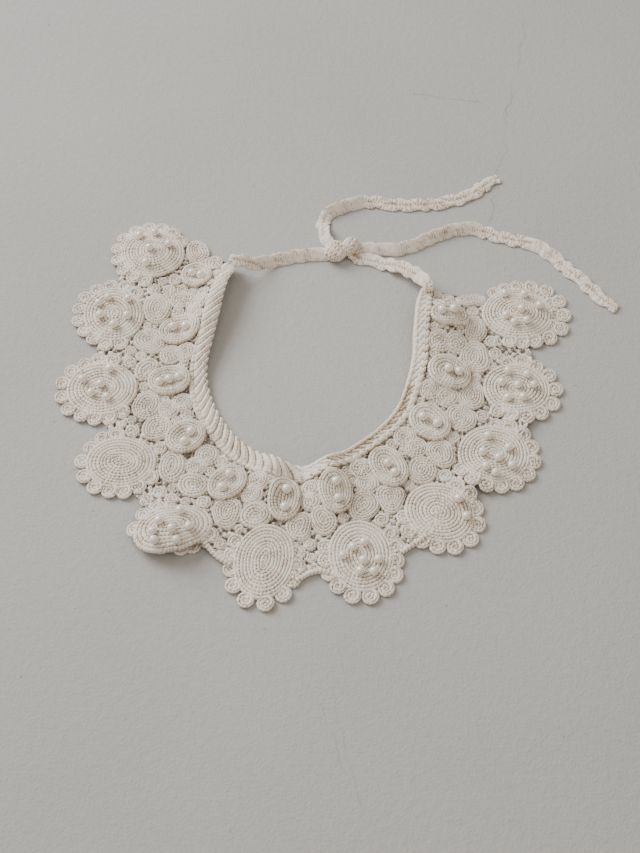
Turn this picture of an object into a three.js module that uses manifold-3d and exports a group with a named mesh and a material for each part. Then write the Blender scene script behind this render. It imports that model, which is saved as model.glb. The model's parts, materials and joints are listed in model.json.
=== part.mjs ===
// A crocheted collar worked in cream cotton, laid flat on a table with its ties knotted behind the neck
// opening. A ribbed neckband carries a row of small raised ovals (buds), then pairs of little rounds
// (twins) and plain ovals (leaves), and outermost a ring of big shell-edged ovals (petals).
// Lengths are millimetres and angles are degrees. Z is up, and the table is at z = 0.
// A bearing is the direction seen from the middle of the neck opening: 0 is the wearer's left (+X), 270 the
// centre front (-Y). The collar runs from bearing 128.5 at its left end round the front to 392 at its right end.
import * as THREE from "three";
import Module from "manifold-3d";

const GAP = 0.4; // clearance between neighbouring pieces in plan
const MIDDLE = { x: -2.7, y: 33.4 }; // the middle of the neck opening, from the collar's own middle

// Cotton thickness of each kind of piece, above the underside, and the corners of its outline. A petal's
// shells are sideShells wide at its sides; the notch between two is cut to notch of their width.
const PETAL = { middle: 2.9, edge: 2.5, shells: 1.8, sideShells: 6, notch: 0.7, shellCount: 11, shellArc: 256,
  plainCorners: 11 };
const BUD = { middle: 2.8, rim: 4.4, rimAt: 0.68, edge: 3.2, corners: 18 };
const TWIN = { middle: 2.8, edge: 2.1, corners: 20 };
const LEAF = { middle: 2.6, edge: 2.0, corners: 16 };
const LUMP = { corners: 12, bands: 6 };
const TRIM = 0.1; // step in which an oval is cut back from the band
const HEM = 0.8; // least width of a petal's shells where a neighbour presses them
const BAND = { thick: 3.5, bevel: 1.0, step: 6 };
const TIE = { wide: 7.5, thick: 2.4, sides: 8, step: 6.5 };

// The inner edge of the neckband: its distance from the middle of the neck opening, and the band's width in
// plan, which is less where the band leans.
const NECK_EDGE = [
  { bearing: 128.5, reach: 69, wide: 9 },
  { bearing: 134, reach: 62.5, wide: 8.5 },
  { bearing: 140, reach: 60.5, wide: 8 },
  { bearing: 150, reach: 56.5, wide: 8 },
  { bearing: 160, reach: 54, wide: 8 },
  { bearing: 170, reach: 53.5, wide: 8 },
  { bearing: 180, reach: 54.5, wide: 8 },
  { bearing: 190, reach: 57.5, wide: 8 },
  { bearing: 200, reach: 60.5, wide: 8.5 },
  { bearing: 210, reach: 63, wide: 9.5 },
  { bearing: 220, reach: 65.5, wide: 9.5 },
  { bearing: 230, reach: 68, wide: 9.5 },
  { bearing: 240, reach: 70.5, wide: 9.5 },
  { bearing: 250, reach: 72.5, wide: 9.5 },
  { bearing: 258, reach: 74, wide: 9 },
  { bearing: 265, reach: 74.5, wide: 8.5 },
  { bearing: 272, reach: 72, wide: 8 },
  { bearing: 280, reach: 68.5, wide: 7.5 },
  { bearing: 290, reach: 64.5, wide: 7.5 },
  { bearing: 300, reach: 62, wide: 7.5 },
  { bearing: 310, reach: 60, wide: 8 },
  { bearing: 320, reach: 58, wide: 8 },
  { bearing: 330, reach: 55.5, wide: 8 },
  { bearing: 340, reach: 54, wide: 8 },
  { bearing: 350, reach: 53.5, wide: 8 },
  { bearing: 360, reach: 53.5, wide: 8 },
  { bearing: 370, reach: 55, wide: 8 },
  { bearing: 380, reach: 59, wide: 8 },
  { bearing: 387, reach: 65, wide: 7 },
  { bearing: 392, reach: 71.5, wide: 6 },
];

// How the collar rises off the table: a soft swell at each place. along and across are its half spreads,
// round the neck and away from it, and height is that of the underside.
const SWELLS = [
  { place: "left shoulder of the band", bearing: 140, reach: 57, height: 11.5, along: 51, across: 13 },
  { place: "first petal", bearing: 145, reach: 111, height: 4.5, along: 17, across: 17 },
  { place: "crease, left ridge", bearing: 255, reach: 80, height: 4, along: 9, across: 22 },
  { place: "crease, right ridge", bearing: 276, reach: 78, height: 4.5, along: 10, across: 20 },
  { place: "fifth petal", bearing: 238, reach: 134, height: 9.5, along: 19, across: 17 },
  { place: "right shoulder of the band", bearing: 386, reach: 60, height: 9, along: 42, across: 13 },
  { place: "last bud", bearing: 373, reach: 77, height: 6, along: 13, across: 12 },
  { place: "ninth bud", bearing: 346, reach: 74, height: 3, along: 14, across: 11 },
  { place: "last petal", bearing: 371, reach: 115, height: 4, along: 17, across: 15 },
];
const SETTLE = 0.4; // swells lower than this lie flat

// Ovals of the collar. bearing and reach place the middle, long and wide are half lengths, and lie is the
// direction of the long axis. shells is how far a petal's shells stand out at its tip.
const PETALS = [
  { bearing: 145.5, reach: 111, long: 18, wide: 17, lie: 160, shells: 7 },
  { bearing: 169, reach: 112, long: 18, wide: 16.5, lie: 110, shells: 7.5 },
  { bearing: 193.5, reach: 115.2, long: 18.8, wide: 16.5, lie: 0, shells: 7.5 },
  { bearing: 216, reach: 121.5, long: 18, wide: 15, lie: 0, shells: 7 },
  { bearing: 238, reach: 130, long: 20, wide: 13, lie: 18, shells: 1.5 },
  { bearing: 259.5, reach: 128, long: 20.5, wide: 15, lie: 80, shells: 7 },
  { bearing: 281, reach: 125.5, long: 19.2, wide: 16, lie: 95, shells: 7.5 },
  { bearing: 302.5, reach: 118.5, long: 18, wide: 16, lie: 325, shells: 7.5 },
  { bearing: 324.5, reach: 114.5, long: 18.5, wide: 17, lie: 0, shells: 7 },
  { bearing: 346, reach: 111.5, long: 18, wide: 16, lie: 0, shells: 8 },
  { bearing: 370.5, reach: 114.5, long: 19.8, wide: 16.8, lie: 0, shells: 11.5 },
];
const BUDS = [
  { bearing: 144, reach: 81, long: 8.5, wide: 8, lie: 20 },
  { bearing: 172.5, reach: 74, long: 12, wide: 8.7, lie: 8 },
  { bearing: 196, reach: 80, long: 12, wide: 8.5, lie: 5 },
  { bearing: 220.5, reach: 87, long: 11, wide: 9, lie: 35 },
  { bearing: 242.5, reach: 94.5, long: 11.5, wide: 8.5, lie: 50 },
  { bearing: 261.5, reach: 94.5, long: 12, wide: 8, lie: 85 },
  { bearing: 277.5, reach: 91, long: 12.5, wide: 8.5, lie: 100 },
  { bearing: 297.5, reach: 84, long: 12.5, wide: 9, lie: 120 },
  { bearing: 322, reach: 78, long: 12, wide: 9.5, lie: 135 },
  { bearing: 345.5, reach: 75.5, long: 12, wide: 10, lie: 160 },
  { bearing: 372, reach: 76.5, long: 11, wide: 8.5, lie: 5 },
];
// A pair of rounds: reach is at the waist between them, span from there to the middle of each.
const TWINS = [
  { bearing: 157, reach: 75, span: 4.8, round: 5.3 },
  { bearing: 184, reach: 73, span: 4.3, round: 4.8 },
  { bearing: 207.5, reach: 81.5, span: 4.4, round: 4.9 },
  { bearing: 231, reach: 91, span: 4.2, round: 5 },
  { bearing: 251.5, reach: 92, span: 4, round: 4.7 },
  { bearing: 269.5, reach: 91, span: 3.4, round: 4 },
  { bearing: 288.5, reach: 83.5, span: 4.8, round: 5.2 },
  { bearing: 310.5, reach: 78.5, span: 4.5, round: 5 },
  { bearing: 335.5, reach: 73, span: 4.9, round: 5.2 },
  { bearing: 360.5, reach: 73, span: 5, round: 5.4 },
];
const LEAVES = [
  { bearing: 135.5, reach: 92.5, long: 8, wide: 6.5, lie: 110 },
  { bearing: 134.5, reach: 80, long: 5.5, wide: 4.5, lie: 20 },
  { bearing: 163.5, reach: 90, long: 10, wide: 7.4, lie: 80 },
  { bearing: 177.5, reach: 88.5, long: 8.5, wide: 7.5, lie: 0 },
  { bearing: 189.5, reach: 90, long: 7, wide: 6, lie: 90 },
  { bearing: 203, reach: 95, long: 8.5, wide: 7.5, lie: 75 },
  { bearing: 212, reach: 95.5, long: 8, wide: 7, lie: 10 },
  { bearing: 225.5, reach: 103, long: 9.5, wide: 6.5, lie: 80 },
  { bearing: 234.5, reach: 103.5, long: 8, wide: 7, lie: 30 },
  { bearing: 246.5, reach: 108.5, long: 9.5, wide: 6.5, lie: 80 },
  { bearing: 254.5, reach: 105.5, long: 7.5, wide: 7, lie: 90 },
  { bearing: 266.5, reach: 107.5, long: 8, wide: 6, lie: 85 },
  { bearing: 273, reach: 103.5, long: 8, wide: 6, lie: 90 },
  { bearing: 285, reach: 99, long: 8.5, wide: 7.5, lie: 45 },
  { bearing: 293.5, reach: 100, long: 8.5, wide: 7, lie: 100 },
  { bearing: 306.5, reach: 94, long: 8, wide: 7, lie: 30 },
  { bearing: 315, reach: 93, long: 9, wide: 7, lie: 100 },
  { bearing: 330, reach: 89.5, long: 8, wide: 7.5, lie: 0 },
  { bearing: 340, reach: 89.5, long: 9.5, wide: 6.5, lie: 80 },
  { bearing: 355.5, reach: 87.5, long: 10, wide: 8, lie: 80 },
  { bearing: 367, reach: 89.5, long: 8, wide: 5.8, lie: 90 },
  { bearing: 379.2, reach: 93, long: 8.6, wide: 6.4, lie: 15 },
];

// The ties. Each point is x, y, z from the middle of the neck opening, and lean is how far the tape is
// tipped up on its edge.
const TIES = {
  tie_left: {
    lean: 30,
    route: [[-43, 50.5, 13.2], [-38, 51, 10.5], [-33, 52.5, 7], [-26.5, 55.5, 4], [-19.5, 58.5, 2.8],
      [-12, 60.5, 2.6], [-5, 61.5, 2.6], [1, 62, 2.6], [4.9, 62.2, 2.8]],
  },
  tie_right: {
    lean: 30,
    route: [[25.6, 60, 2.6], [33, 58.5, 2.6], [42, 56, 3], [48.5, 52.5, 4], [55, 47.5, 6],
      [59.5, 42, 8.5], [63, 37.5, 10.5]],
  },
  tail_back: {
    lean: 35,
    route: [[9.8, 69.8, 2.6], [7.8, 73, 2.6], [6, 78.5, 2.6], [5.5, 84.5, 2.6], [6.5, 89.5, 2.6],
      [9.5, 92.5, 2.6], [13, 94.5, 2.6], [17, 96.5, 2.6], [21.5, 98.5, 2.6], [26.5, 100.5, 2.6],
      [31.5, 101.5, 2.6], [36.5, 101.5, 2.6], [42, 100.5, 2.6], [52.5, 99.5, 2.6], [60.5, 99.5, 2.6],
      [67.5, 100, 2.6], [74.5, 101, 2.6], [81.5, 103, 2.6], [89, 105.5, 2.6], [95, 109.5, 2.6],
      [100.5, 114, 2.6], [105.5, 118, 2.6], [110.5, 121, 2.6]],
  },
  tail_front: {
    lean: 30,
    route: [[27.4, 67, 2.8], [34.5, 65.9, 2.6], [42, 65.5, 2.6], [49, 66, 2.6], [55.5, 68, 2.6],
      [64.5, 72.5, 2.6], [73.5, 77, 2.6], [82.5, 80, 2.6], [91, 80.5, 2.6], [99.5, 79, 2.6],
      [106.5, 76, 2.6], [114.5, 73.5, 2.6], [122.5, 71.5, 2.6], [130, 66.5, 2.6], [138, 59, 2.6],
      [145.5, 50.5, 2.6], [152.5, 42.5, 2.6], [159.5, 33.5, 2.6], [165.5, 27.5, 2.6], [169, 25.5, 2.6]],
  },
};
// The knot is two crossed lumps: middle, half sizes and turn of each.
const KNOT_LUMPS = [
  { x: 13.5, y: 64, z: 4.4, long: 8.4, wide: 6, high: 4.4, turn: 15 },
  { x: 21, y: 65.5, z: 5, long: 6.8, wide: 5.4, high: 5, turn: 45 },
];

const COTTON = { color: 0xd9d0c3, roughness: 0.92, metalness: 0 };
const cos = (angle) => Math.cos(THREE.MathUtils.degToRad(angle));
const sin = (angle) => Math.sin(THREE.MathUtils.degToRad(angle));
const collar = new THREE.Group();
collar.position.set(MIDDLE.x, MIDDLE.y, 0);

/** Puts one named piece of cotton into the collar. */
function addPiece(name, geometry) {
  const piece = new THREE.Mesh(geometry, new THREE.MeshStandardMaterial(COTTON));
  piece.name = name;
  collar.add(piece);
}

/** The point at a bearing and a distance from the middle of the neck opening. */
function pointAt(bearing, reach) {
  return new THREE.Vector2(reach * cos(bearing), reach * sin(bearing));
}

/** The bearing of a point, counted on past 360 up to the right end of the collar. */
function bearingOf(point) {
  const bearing = THREE.MathUtils.radToDeg(Math.atan2(point.y, point.x));
  return bearing < 80 ? bearing + 360 : bearing;
}

/** One column of NECK_EDGE at a bearing, by a smooth curve through its rows. */
function neckEdge(column, bearing) {
  const last = NECK_EDGE.length - 2;
  const found = NECK_EDGE.findIndex((row) => row.bearing > bearing) - 1;
  const i = found < 0 ? (bearing < NECK_EDGE[0].bearing ? 0 : last) : found;
  const [a, b] = [NECK_EDGE[i], NECK_EDGE[i + 1]];
  const before = NECK_EDGE[Math.max(i - 1, 0)];
  const after = NECK_EDGE[Math.min(i + 2, last + 1)];
  const gap = b.bearing - a.bearing;
  const t = (bearing - a.bearing) / gap;
  const slopeA = ((b[column] - before[column]) / (b.bearing - before.bearing)) * gap;
  const slopeB = ((after[column] - a[column]) / (after.bearing - a.bearing)) * gap;
  return a[column] * (1 + 2 * t) * (1 - t) ** 2 + slopeA * t * (1 - t) ** 2
    + b[column] * t * t * (3 - 2 * t) + slopeB * t * t * (t - 1);
}

/** Height of the collar's underside over the table. */
function lift(point) {
  const bearing = bearingOf(point);
  const reach = point.length();
  let height = 0;
  for (const swell of SWELLS) {
    const along = THREE.MathUtils.degToRad(bearing - swell.bearing) * swell.reach / swell.along;
    const across = (reach - swell.reach) / swell.across;
    height += swell.height * Math.exp(-along * along - across * across);
  }
  return Math.max(0, height - SETTLE);
}

/** A closed skin: a point, loops of equally many points one after another, and a point. */
function skin(first, loops, last) {
  const count = loops[0].length;
  const corners = [first, ...loops.flat(), last];
  const faces = [];
  for (let k = 0; k < count; k += 1) {
    const next = (k + 1) % count;
    faces.push(0, 1 + k, 1 + next);
    for (let loop = 0; loop < loops.length - 1; loop += 1) {
      const here = 1 + loop * count;
      const below = here + count;
      faces.push(here + k, below + k, below + next, here + k, below + next, here + next);
    }
    const end = 1 + (loops.length - 1) * count;
    faces.push(end + k, corners.length - 1, end + next);
  }
  const geometry = new THREE.BufferGeometry().setFromPoints(corners);
  geometry.setIndex(faces);
  geometry.computeVertexNormals();
  return geometry;
}

// --- the neckband ---------------------------------------------------------------------------------------

const BAND_ENDS = [NECK_EDGE[0].bearing, NECK_EDGE.at(-1).bearing];
const stationCount = Math.round((BAND_ENDS[1] - BAND_ENDS[0]) / BAND.step);

/** A station of the neckband: its inner edge point, the way across to the outer edge, and the width. */
function bandStation(bearing) {
  const inner = pointAt(bearing, neckEdge("reach", bearing));
  const ahead = pointAt(bearing + 1, neckEdge("reach", bearing + 1));
  const back = pointAt(bearing - 1, neckEdge("reach", bearing - 1));
  const run = ahead.sub(back).normalize();
  return { inner, across: new THREE.Vector2(run.y, -run.x), wide: neckEdge("wide", bearing) };
}

const stations = Array.from({ length: stationCount + 1 }, (_, k) =>
  bandStation(THREE.MathUtils.lerp(BAND_ENDS[0], BAND_ENDS[1], k / stationCount)));

/** The bevelled section of the band at a station, lying on the swells. */
function bandSection({ inner, across, wide }) {
  const { thick, bevel } = BAND;
  const profile = [[0, bevel], [bevel, 0], [wide - bevel, 0], [wide, bevel],
    [wide, thick - bevel], [wide - bevel, thick], [bevel, thick], [0, thick - bevel]];
  return profile.map(([out, up]) => {
    const point = inner.clone().addScaledVector(across, out);
    return new THREE.Vector3(point.x, point.y, lift(point) + up);
  });
}

/** The middle of a loop of points. */
function middleOf(loop) {
  return loop.reduce((sum, point) => sum.add(point), new THREE.Vector3()).divideScalar(loop.length);
}

const sections = stations.map(bandSection);
addPiece("neckband", skin(middleOf(sections[0]), sections, middleOf(sections.at(-1))));

/** Whether a point beside the band is on it or nearer to it than the gap. */
function meetsBand(point) {
  return stations.some(({ inner, across, wide }) => {
    const from = point.clone().sub(inner);
    const out = from.dot(across);
    const beside = Math.abs(from.cross(across));
    return Math.abs(out) < wide + GAP && beside < BAND.step;
  });
}

// --- the ovals ------------------------------------------------------------------------------------------

/** A flat-worked piece: its middle and, for each ray from there, the angle and how far the edge is. */
function outline(kind, row, angles, edge, body) {
  const middle = pointAt(row.bearing, row.reach);
  const rays = angles.map((angle) => ({ way: pointAt(angle, 1), far: edge(angle), body: body(angle) }));
  return { kind, middle, rays };
}

/** An oval's radius at an angle. */
function ovalRadius({ long, wide, lie }, angle) {
  return long * wide / Math.hypot(wide * cos(angle - lie), long * sin(angle - lie));
}

/** Angles all round, evenly spread. */
function evenAngles(count) {
  return Array.from({ length: count }, (_, k) => (k * 360) / count);
}

/** A petal: an oval with scallops round its outward side. Each scallop has a notch and two points of arc. */
function petalOutline(row) {
  const pitch = PETAL.shellArc / PETAL.shellCount;
  const start = row.bearing - PETAL.shellArc / 2;
  const plainPitch = (360 - PETAL.shellArc) / (PETAL.plainCorners + 1);
  const shellAngles = Array.from({ length: PETAL.shellCount * 3 + 1 }, (_, k) => start + (k * pitch) / 3);
  const plainAngles = Array.from({ length: PETAL.plainCorners }, (_, k) =>
    start - (PETAL.plainCorners - k) * plainPitch);
  const edge = (angle) => {
    if (angle < start) return ovalRadius(row, angle);
    const thirds = Math.round(((angle - start) * 3) / pitch);
    const outward = Math.max(0, cos(angle - row.bearing)) ** 2;
    const shells = THREE.MathUtils.lerp(PETAL.sideShells, row.shells, outward);
    return ovalRadius(row, angle) + shells * (thirds % 3 === 0 ? PETAL.notch : 1);
  };
  return outline("petal", row, [...plainAngles, ...shellAngles], edge, (angle) => ovalRadius(row, angle));
}

/** A plain oval. */
function ovalOutline(kind, row, count) {
  const edge = (angle) => ovalRadius(row, angle);
  return outline(kind, row, evenAngles(count), edge, edge);
}

/** Two rounds side by side along the bearing, as one figure-of-eight outline. */
function twinOutline(row) {
  const edge = (angle) => {
    const along = row.span * Math.abs(cos(angle - row.bearing));
    const aside = row.span * sin(angle - row.bearing);
    return along + Math.sqrt(row.round ** 2 - aside ** 2);
  };
  const angles = evenAngles(TWIN.corners).map((angle) => angle + row.bearing);
  return outline("twin", row, angles, edge, edge);
}

/** How far an outline reaches from its middle along a direction. */
function support(form, way) {
  return Math.max(...form.rays.map((ray) => ray.far * ray.way.dot(way)));
}

/** Draws rays in so that they end short of a line that lies square to a direction, at a distance. */
function pressTo(form, way, distance) {
  for (const ray of form.rays) {
    const slope = ray.way.dot(way);
    if (slope > 0) ray.pressed = Math.min(ray.pressed, distance / slope);
  }
}

/** Neighbours that would overlap press each other flat along the line between them. */
function pressNeighbours(forms) {
  forms.forEach((form) => form.rays.forEach((ray) => { ray.pressed = ray.far; }));
  forms.forEach((a, i) => forms.slice(i + 1).forEach((b) => {
    const way = b.middle.clone().sub(a.middle);
    const apart = way.length();
    way.normalize();
    const reachA = support(a, way);
    const reachB = support(b, way.clone().negate());
    const overlap = reachA + reachB + GAP - apart;
    if (overlap <= 0) return;
    pressTo(a, way, reachA - overlap / 2);
    pressTo(b, way.negate(), reachB - overlap / 2);
  }));
  for (const form of forms) {
    for (const ray of form.rays) {
      while (meetsBand(form.middle.clone().addScaledVector(ray.way, ray.pressed))) ray.pressed -= TRIM;
    }
  }
}

/** A loop of an oval's points at a share of its rays, at a height over the underside. */
function ring(form, far, up) {
  return form.rays.map((ray) => {
    const point = form.middle.clone().addScaledVector(ray.way, far(ray));
    return new THREE.Vector3(point.x, point.y, lift(point) + up);
  });
}

/** The middle of an oval, at a height over the underside. */
function hub(form, up) {
  return new THREE.Vector3(form.middle.x, form.middle.y, lift(form.middle) + up);
}

const BUILD = {
  petal(form) {
    const inside = (ray) => Math.min(ray.body, ray.pressed - HEM);
    const edge = (ray) => ray.pressed;
    const top = [ring(form, inside, PETAL.edge), ring(form, edge, PETAL.shells)];
    return skin(hub(form, PETAL.middle), [...top, ring(form, edge, 0), ring(form, inside, 0)], hub(form, 0));
  },
  bud(form) {
    const rim = (ray) => BUD.rimAt * ray.pressed;
    const edge = (ray) => ray.pressed;
    const loops = [ring(form, rim, BUD.rim), ring(form, edge, BUD.edge), ring(form, edge, 0)];
    return skin(hub(form, BUD.middle), loops, hub(form, 0));
  },
  twin(form) {
    const edge = (ray) => ray.pressed;
    return skin(hub(form, TWIN.middle), [ring(form, edge, TWIN.edge), ring(form, edge, 0)], hub(form, 0));
  },
  leaf(form) {
    const edge = (ray) => ray.pressed;
    return skin(hub(form, LEAF.middle), [ring(form, edge, LEAF.edge), ring(form, edge, 0)], hub(form, 0));
  },
};

const forms = [
  ...PETALS.map(petalOutline),
  ...BUDS.map((row) => ovalOutline("bud", row, BUD.corners)),
  ...TWINS.map(twinOutline),
  ...LEAVES.map((row) => ovalOutline("leaf", row, LEAF.corners)),
];
pressNeighbours(forms);
for (const kind of Object.keys(BUILD)) {
  forms.filter((form) => form.kind === kind).forEach((form, k) => {
    addPiece(`${kind}_${String(k + 1).padStart(2, "0")}`, BUILD[kind](form));
  });
}

// --- the ties and their knot ----------------------------------------------------------------------------

/** The oval section of a tie, tipped up by its lean, in the axes that the extrusion starts with. */
function tieSection(path, steps, lean) {
  const frames = path.computeFrenetFrames(steps, false);
  const start = frames.tangents[0];
  const left = new THREE.Vector3(-start.y, start.x, 0).normalize();
  const up = new THREE.Vector3().crossVectors(start, left);
  const corners = evenAngles(TIE.sides).map((angle) => {
    const wide = (TIE.wide / 2) * cos(angle);
    const thick = (TIE.thick / 2) * sin(angle);
    const corner = left.clone().multiplyScalar(wide * cos(lean) - thick * sin(lean));
    corner.addScaledVector(up, wide * sin(lean) + thick * cos(lean));
    return new THREE.Vector2(corner.dot(frames.normals[0]), corner.dot(frames.binormals[0]));
  });
  return new THREE.Shape(corners);
}

for (const [name, { lean, route }] of Object.entries(TIES)) {
  const path = new THREE.CatmullRomCurve3(route.map((point) => new THREE.Vector3(...point)));
  const steps = Math.round(path.getLength() / TIE.step);
  const shape = { extrudePath: path, steps, bevelEnabled: false };
  addPiece(name, new THREE.ExtrudeGeometry(tieSection(path, steps, lean), shape));
}

const wasm = await Module();
wasm.setup();

/** One lump of the knot as a solid. */
function lumpSolid({ x, y, z, long, wide, high, turn }) {
  const loops = Array.from({ length: LUMP.bands - 1 }, (_, k) => {
    const fall = ((k + 1) * 180) / LUMP.bands;
    return evenAngles(LUMP.corners).map((angle) => new THREE.Vector3(
      long * sin(fall) * cos(angle), wide * sin(fall) * sin(angle), high * cos(fall)));
  });
  const lump = skin(new THREE.Vector3(0, 0, high), loops, new THREE.Vector3(0, 0, -high));
  lump.rotateZ(THREE.MathUtils.degToRad(turn)).translate(x, y, z);
  const vertProperties = lump.attributes.position.array;
  return new wasm.Manifold(new wasm.Mesh({
    numProp: 3, vertProperties, triVerts: Uint32Array.from(lump.index.array),
  }));
}

const knotSolid = KNOT_LUMPS.map(lumpSolid).reduce((all, lump) => all.add(lump)).getMesh();
const knotShape = new THREE.BufferGeometry();
knotShape.setAttribute("position", new THREE.BufferAttribute(knotSolid.vertProperties, 3));
knotShape.setIndex(new THREE.BufferAttribute(knotSolid.triVerts, 1));
knotShape.computeVertexNormals();
addPiece("knot", knotShape);

const part = new THREE.Group();
part.add(collar);
export default part;
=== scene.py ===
"""A crocheted collar laid flat on a pale plaster floor, with its ties knotted behind the neck opening.

A ribbed neckband carries raised ovals with pearls (buds), pairs of little rounds (twins), plain ovals
(leaves) and a ring of large shell-edged ovals (petals), all worked in spirals of cream cotton. Lengths here
are millimetres from the middle of the neck opening, and turn into metres when a mesh is made.
"""
import json
import logging
import math
from dataclasses import dataclass, field
from enum import Enum
from typing import Callable, Sequence

import bpy
import numpy as np
from numpy.typing import NDArray
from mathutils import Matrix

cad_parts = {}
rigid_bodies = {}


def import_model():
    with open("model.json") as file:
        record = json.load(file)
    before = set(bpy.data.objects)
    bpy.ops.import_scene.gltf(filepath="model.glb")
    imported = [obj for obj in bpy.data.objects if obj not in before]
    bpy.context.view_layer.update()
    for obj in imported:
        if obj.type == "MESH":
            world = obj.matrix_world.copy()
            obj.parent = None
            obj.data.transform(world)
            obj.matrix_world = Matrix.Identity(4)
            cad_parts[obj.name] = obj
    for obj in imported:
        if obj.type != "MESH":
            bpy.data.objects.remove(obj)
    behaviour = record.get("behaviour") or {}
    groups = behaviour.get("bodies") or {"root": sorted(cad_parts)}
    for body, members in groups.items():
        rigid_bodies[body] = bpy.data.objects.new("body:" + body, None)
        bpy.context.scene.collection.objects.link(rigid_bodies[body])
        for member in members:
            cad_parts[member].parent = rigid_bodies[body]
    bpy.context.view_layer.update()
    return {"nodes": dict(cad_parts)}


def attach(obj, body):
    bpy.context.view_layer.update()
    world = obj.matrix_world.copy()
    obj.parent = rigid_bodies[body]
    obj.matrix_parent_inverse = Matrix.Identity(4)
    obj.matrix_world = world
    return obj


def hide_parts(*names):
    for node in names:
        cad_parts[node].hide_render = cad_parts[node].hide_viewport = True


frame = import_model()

LOG = logging.getLogger("collar")

Generator = np.random.Generator
Floats = NDArray[np.float64]
Indices = NDArray[np.int64]
Colour = tuple[float, float, float, float]
Point = tuple[float, float, float]
Profile = tuple[tuple[float, float], ...]
Piece = bpy.types.Object
Material = bpy.types.Material
Tree = bpy.types.NodeTree
Socket = bpy.types.NodeSocket
Sockets = dict[str | int, object]

MM = 0.001
MIDDLE = np.array([-2.7, 33.4, 0.0])  # the middle of the neck opening in the model's frame
TURN = 2 * math.pi
LEAST_WIDTH = 0.0101  # the least flat width that a sheet may be declared with, in metres
BODY = "root"
STITCH_UV = "stitches"
# the mesh attribute that sets the painted shade: where it is low, the darker groove colour is painted in
RELIEF = "relief"


# --- meshes ---


@dataclass
class Patch:
    """A run of mesh: corners, four-cornered faces (-1 ends a triangle), relief and stitch coordinates."""

    corners: Floats
    faces: Indices
    relief: Floats
    stitches: Floats

    @staticmethod
    def join(patches: Sequence["Patch"]) -> "Patch":
        """Puts patches side by side in one.

        Args:
            patches: the patches to join.

        Returns:
            One patch that holds them all.
        """
        starts = np.cumsum([0] + [len(patch.corners) for patch in patches[:-1]])
        faces = [np.where(patch.faces < 0, -1, patch.faces + start) for patch, start in zip(patches, starts)]
        return Patch(
            np.concatenate([patch.corners for patch in patches]),
            np.concatenate(faces),
            np.concatenate([patch.relief for patch in patches]),
            np.concatenate([patch.stitches for patch in patches]),
        )

    def welded(self) -> "Patch":
        """Merges corners in one place and drops the faces that this closes up.

        Returns:
            The patch with each corner once, and faces of three or four different corners.
        """
        _, first, place = np.unique(
            np.round(self.corners, 4), axis=0, return_index=True, return_inverse=True)
        faces = place.reshape(-1)[self.faces]
        following = np.roll(faces, -1, axis=1)
        doubled = faces == following
        keep = doubled.sum(axis=1) <= 1
        crossed = (faces[:, 0] == faces[:, 2]) | (faces[:, 1] == faces[:, 3])
        keep &= ~crossed
        faces, doubled, stitches = faces[keep], doubled[keep], self.stitches[keep]
        short = doubled.any(axis=1)
        gone = np.argmax(doubled, axis=1)
        order = (gone[:, None] + 1 + np.arange(4)) % 4
        faces[short] = np.take_along_axis(faces, order, axis=1)[short]
        stitches[short] = np.take_along_axis(stitches, order[:, :, None], axis=1)[short]
        faces[short, 3] = -1
        return Patch(self.corners[first], faces, self.relief[first], stitches)


def quads(table: NDArray) -> NDArray:
    """The values at the four corners of each face of a grid, in order round the face."""
    return np.stack([table[:-1, :-1], table[:-1, 1:], table[1:, 1:], table[1:, :-1]], axis=2)


def grid_patch(points: Floats, relief: Floats, stitches: Floats, ring: bool) -> Patch:
    """A patch on a grid of points.

    Args:
        points: rows along and columns across, (n, m, 3); outwards is across turned to along, right-handed.
        relief: how much each point stands proud, which sets how much painted groove shade it takes, (n, m).
        stitches: stitch coordinates at each point, (n, m, 2).
        ring: whether the columns close into a ring.

    Returns:
        The patch, with one face between each four neighbouring points.
    """
    rows, columns = points.shape[:2]
    numbers = np.arange(rows * columns).reshape(rows, columns)
    steps = stitches
    if ring:
        numbers = np.hstack([numbers, numbers[:, :1]])
        last = 2 * stitches[:, -1:] - stitches[:, -2:-1]
        steps = np.hstack([stitches, last])
    faces = quads(numbers).reshape(-1, 4)
    coordinates = quads(steps).reshape(-1, 4, 2)
    return Patch(points.reshape(-1, 3), faces, relief.reshape(-1), coordinates)


def closed_bar(points: Floats, relief: Floats, stitches: Floats) -> Patch:
    """A closed section carried along, with each end drawn in to the middle of its section.

    Args:
        points: rows along and columns round the section, (n, m, 3).
        relief: how much each point stands proud, which sets how much painted groove shade it takes, (n, m).
        stitches: stitch coordinates at each point, (n, m, 2).

    Returns:
        The bar's patch, closed at both ends.
    """
    first, last = (
        np.broadcast_to(end.mean(axis=1, keepdims=True), end.shape) for end in (points[:1], points[-1:]))
    relief, stitches = (np.concatenate([table[:1], table, table[-1:]]) for table in (relief, stitches))
    return grid_patch(np.concatenate([first, points, last]), relief, stitches, ring=True).welded()


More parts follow.
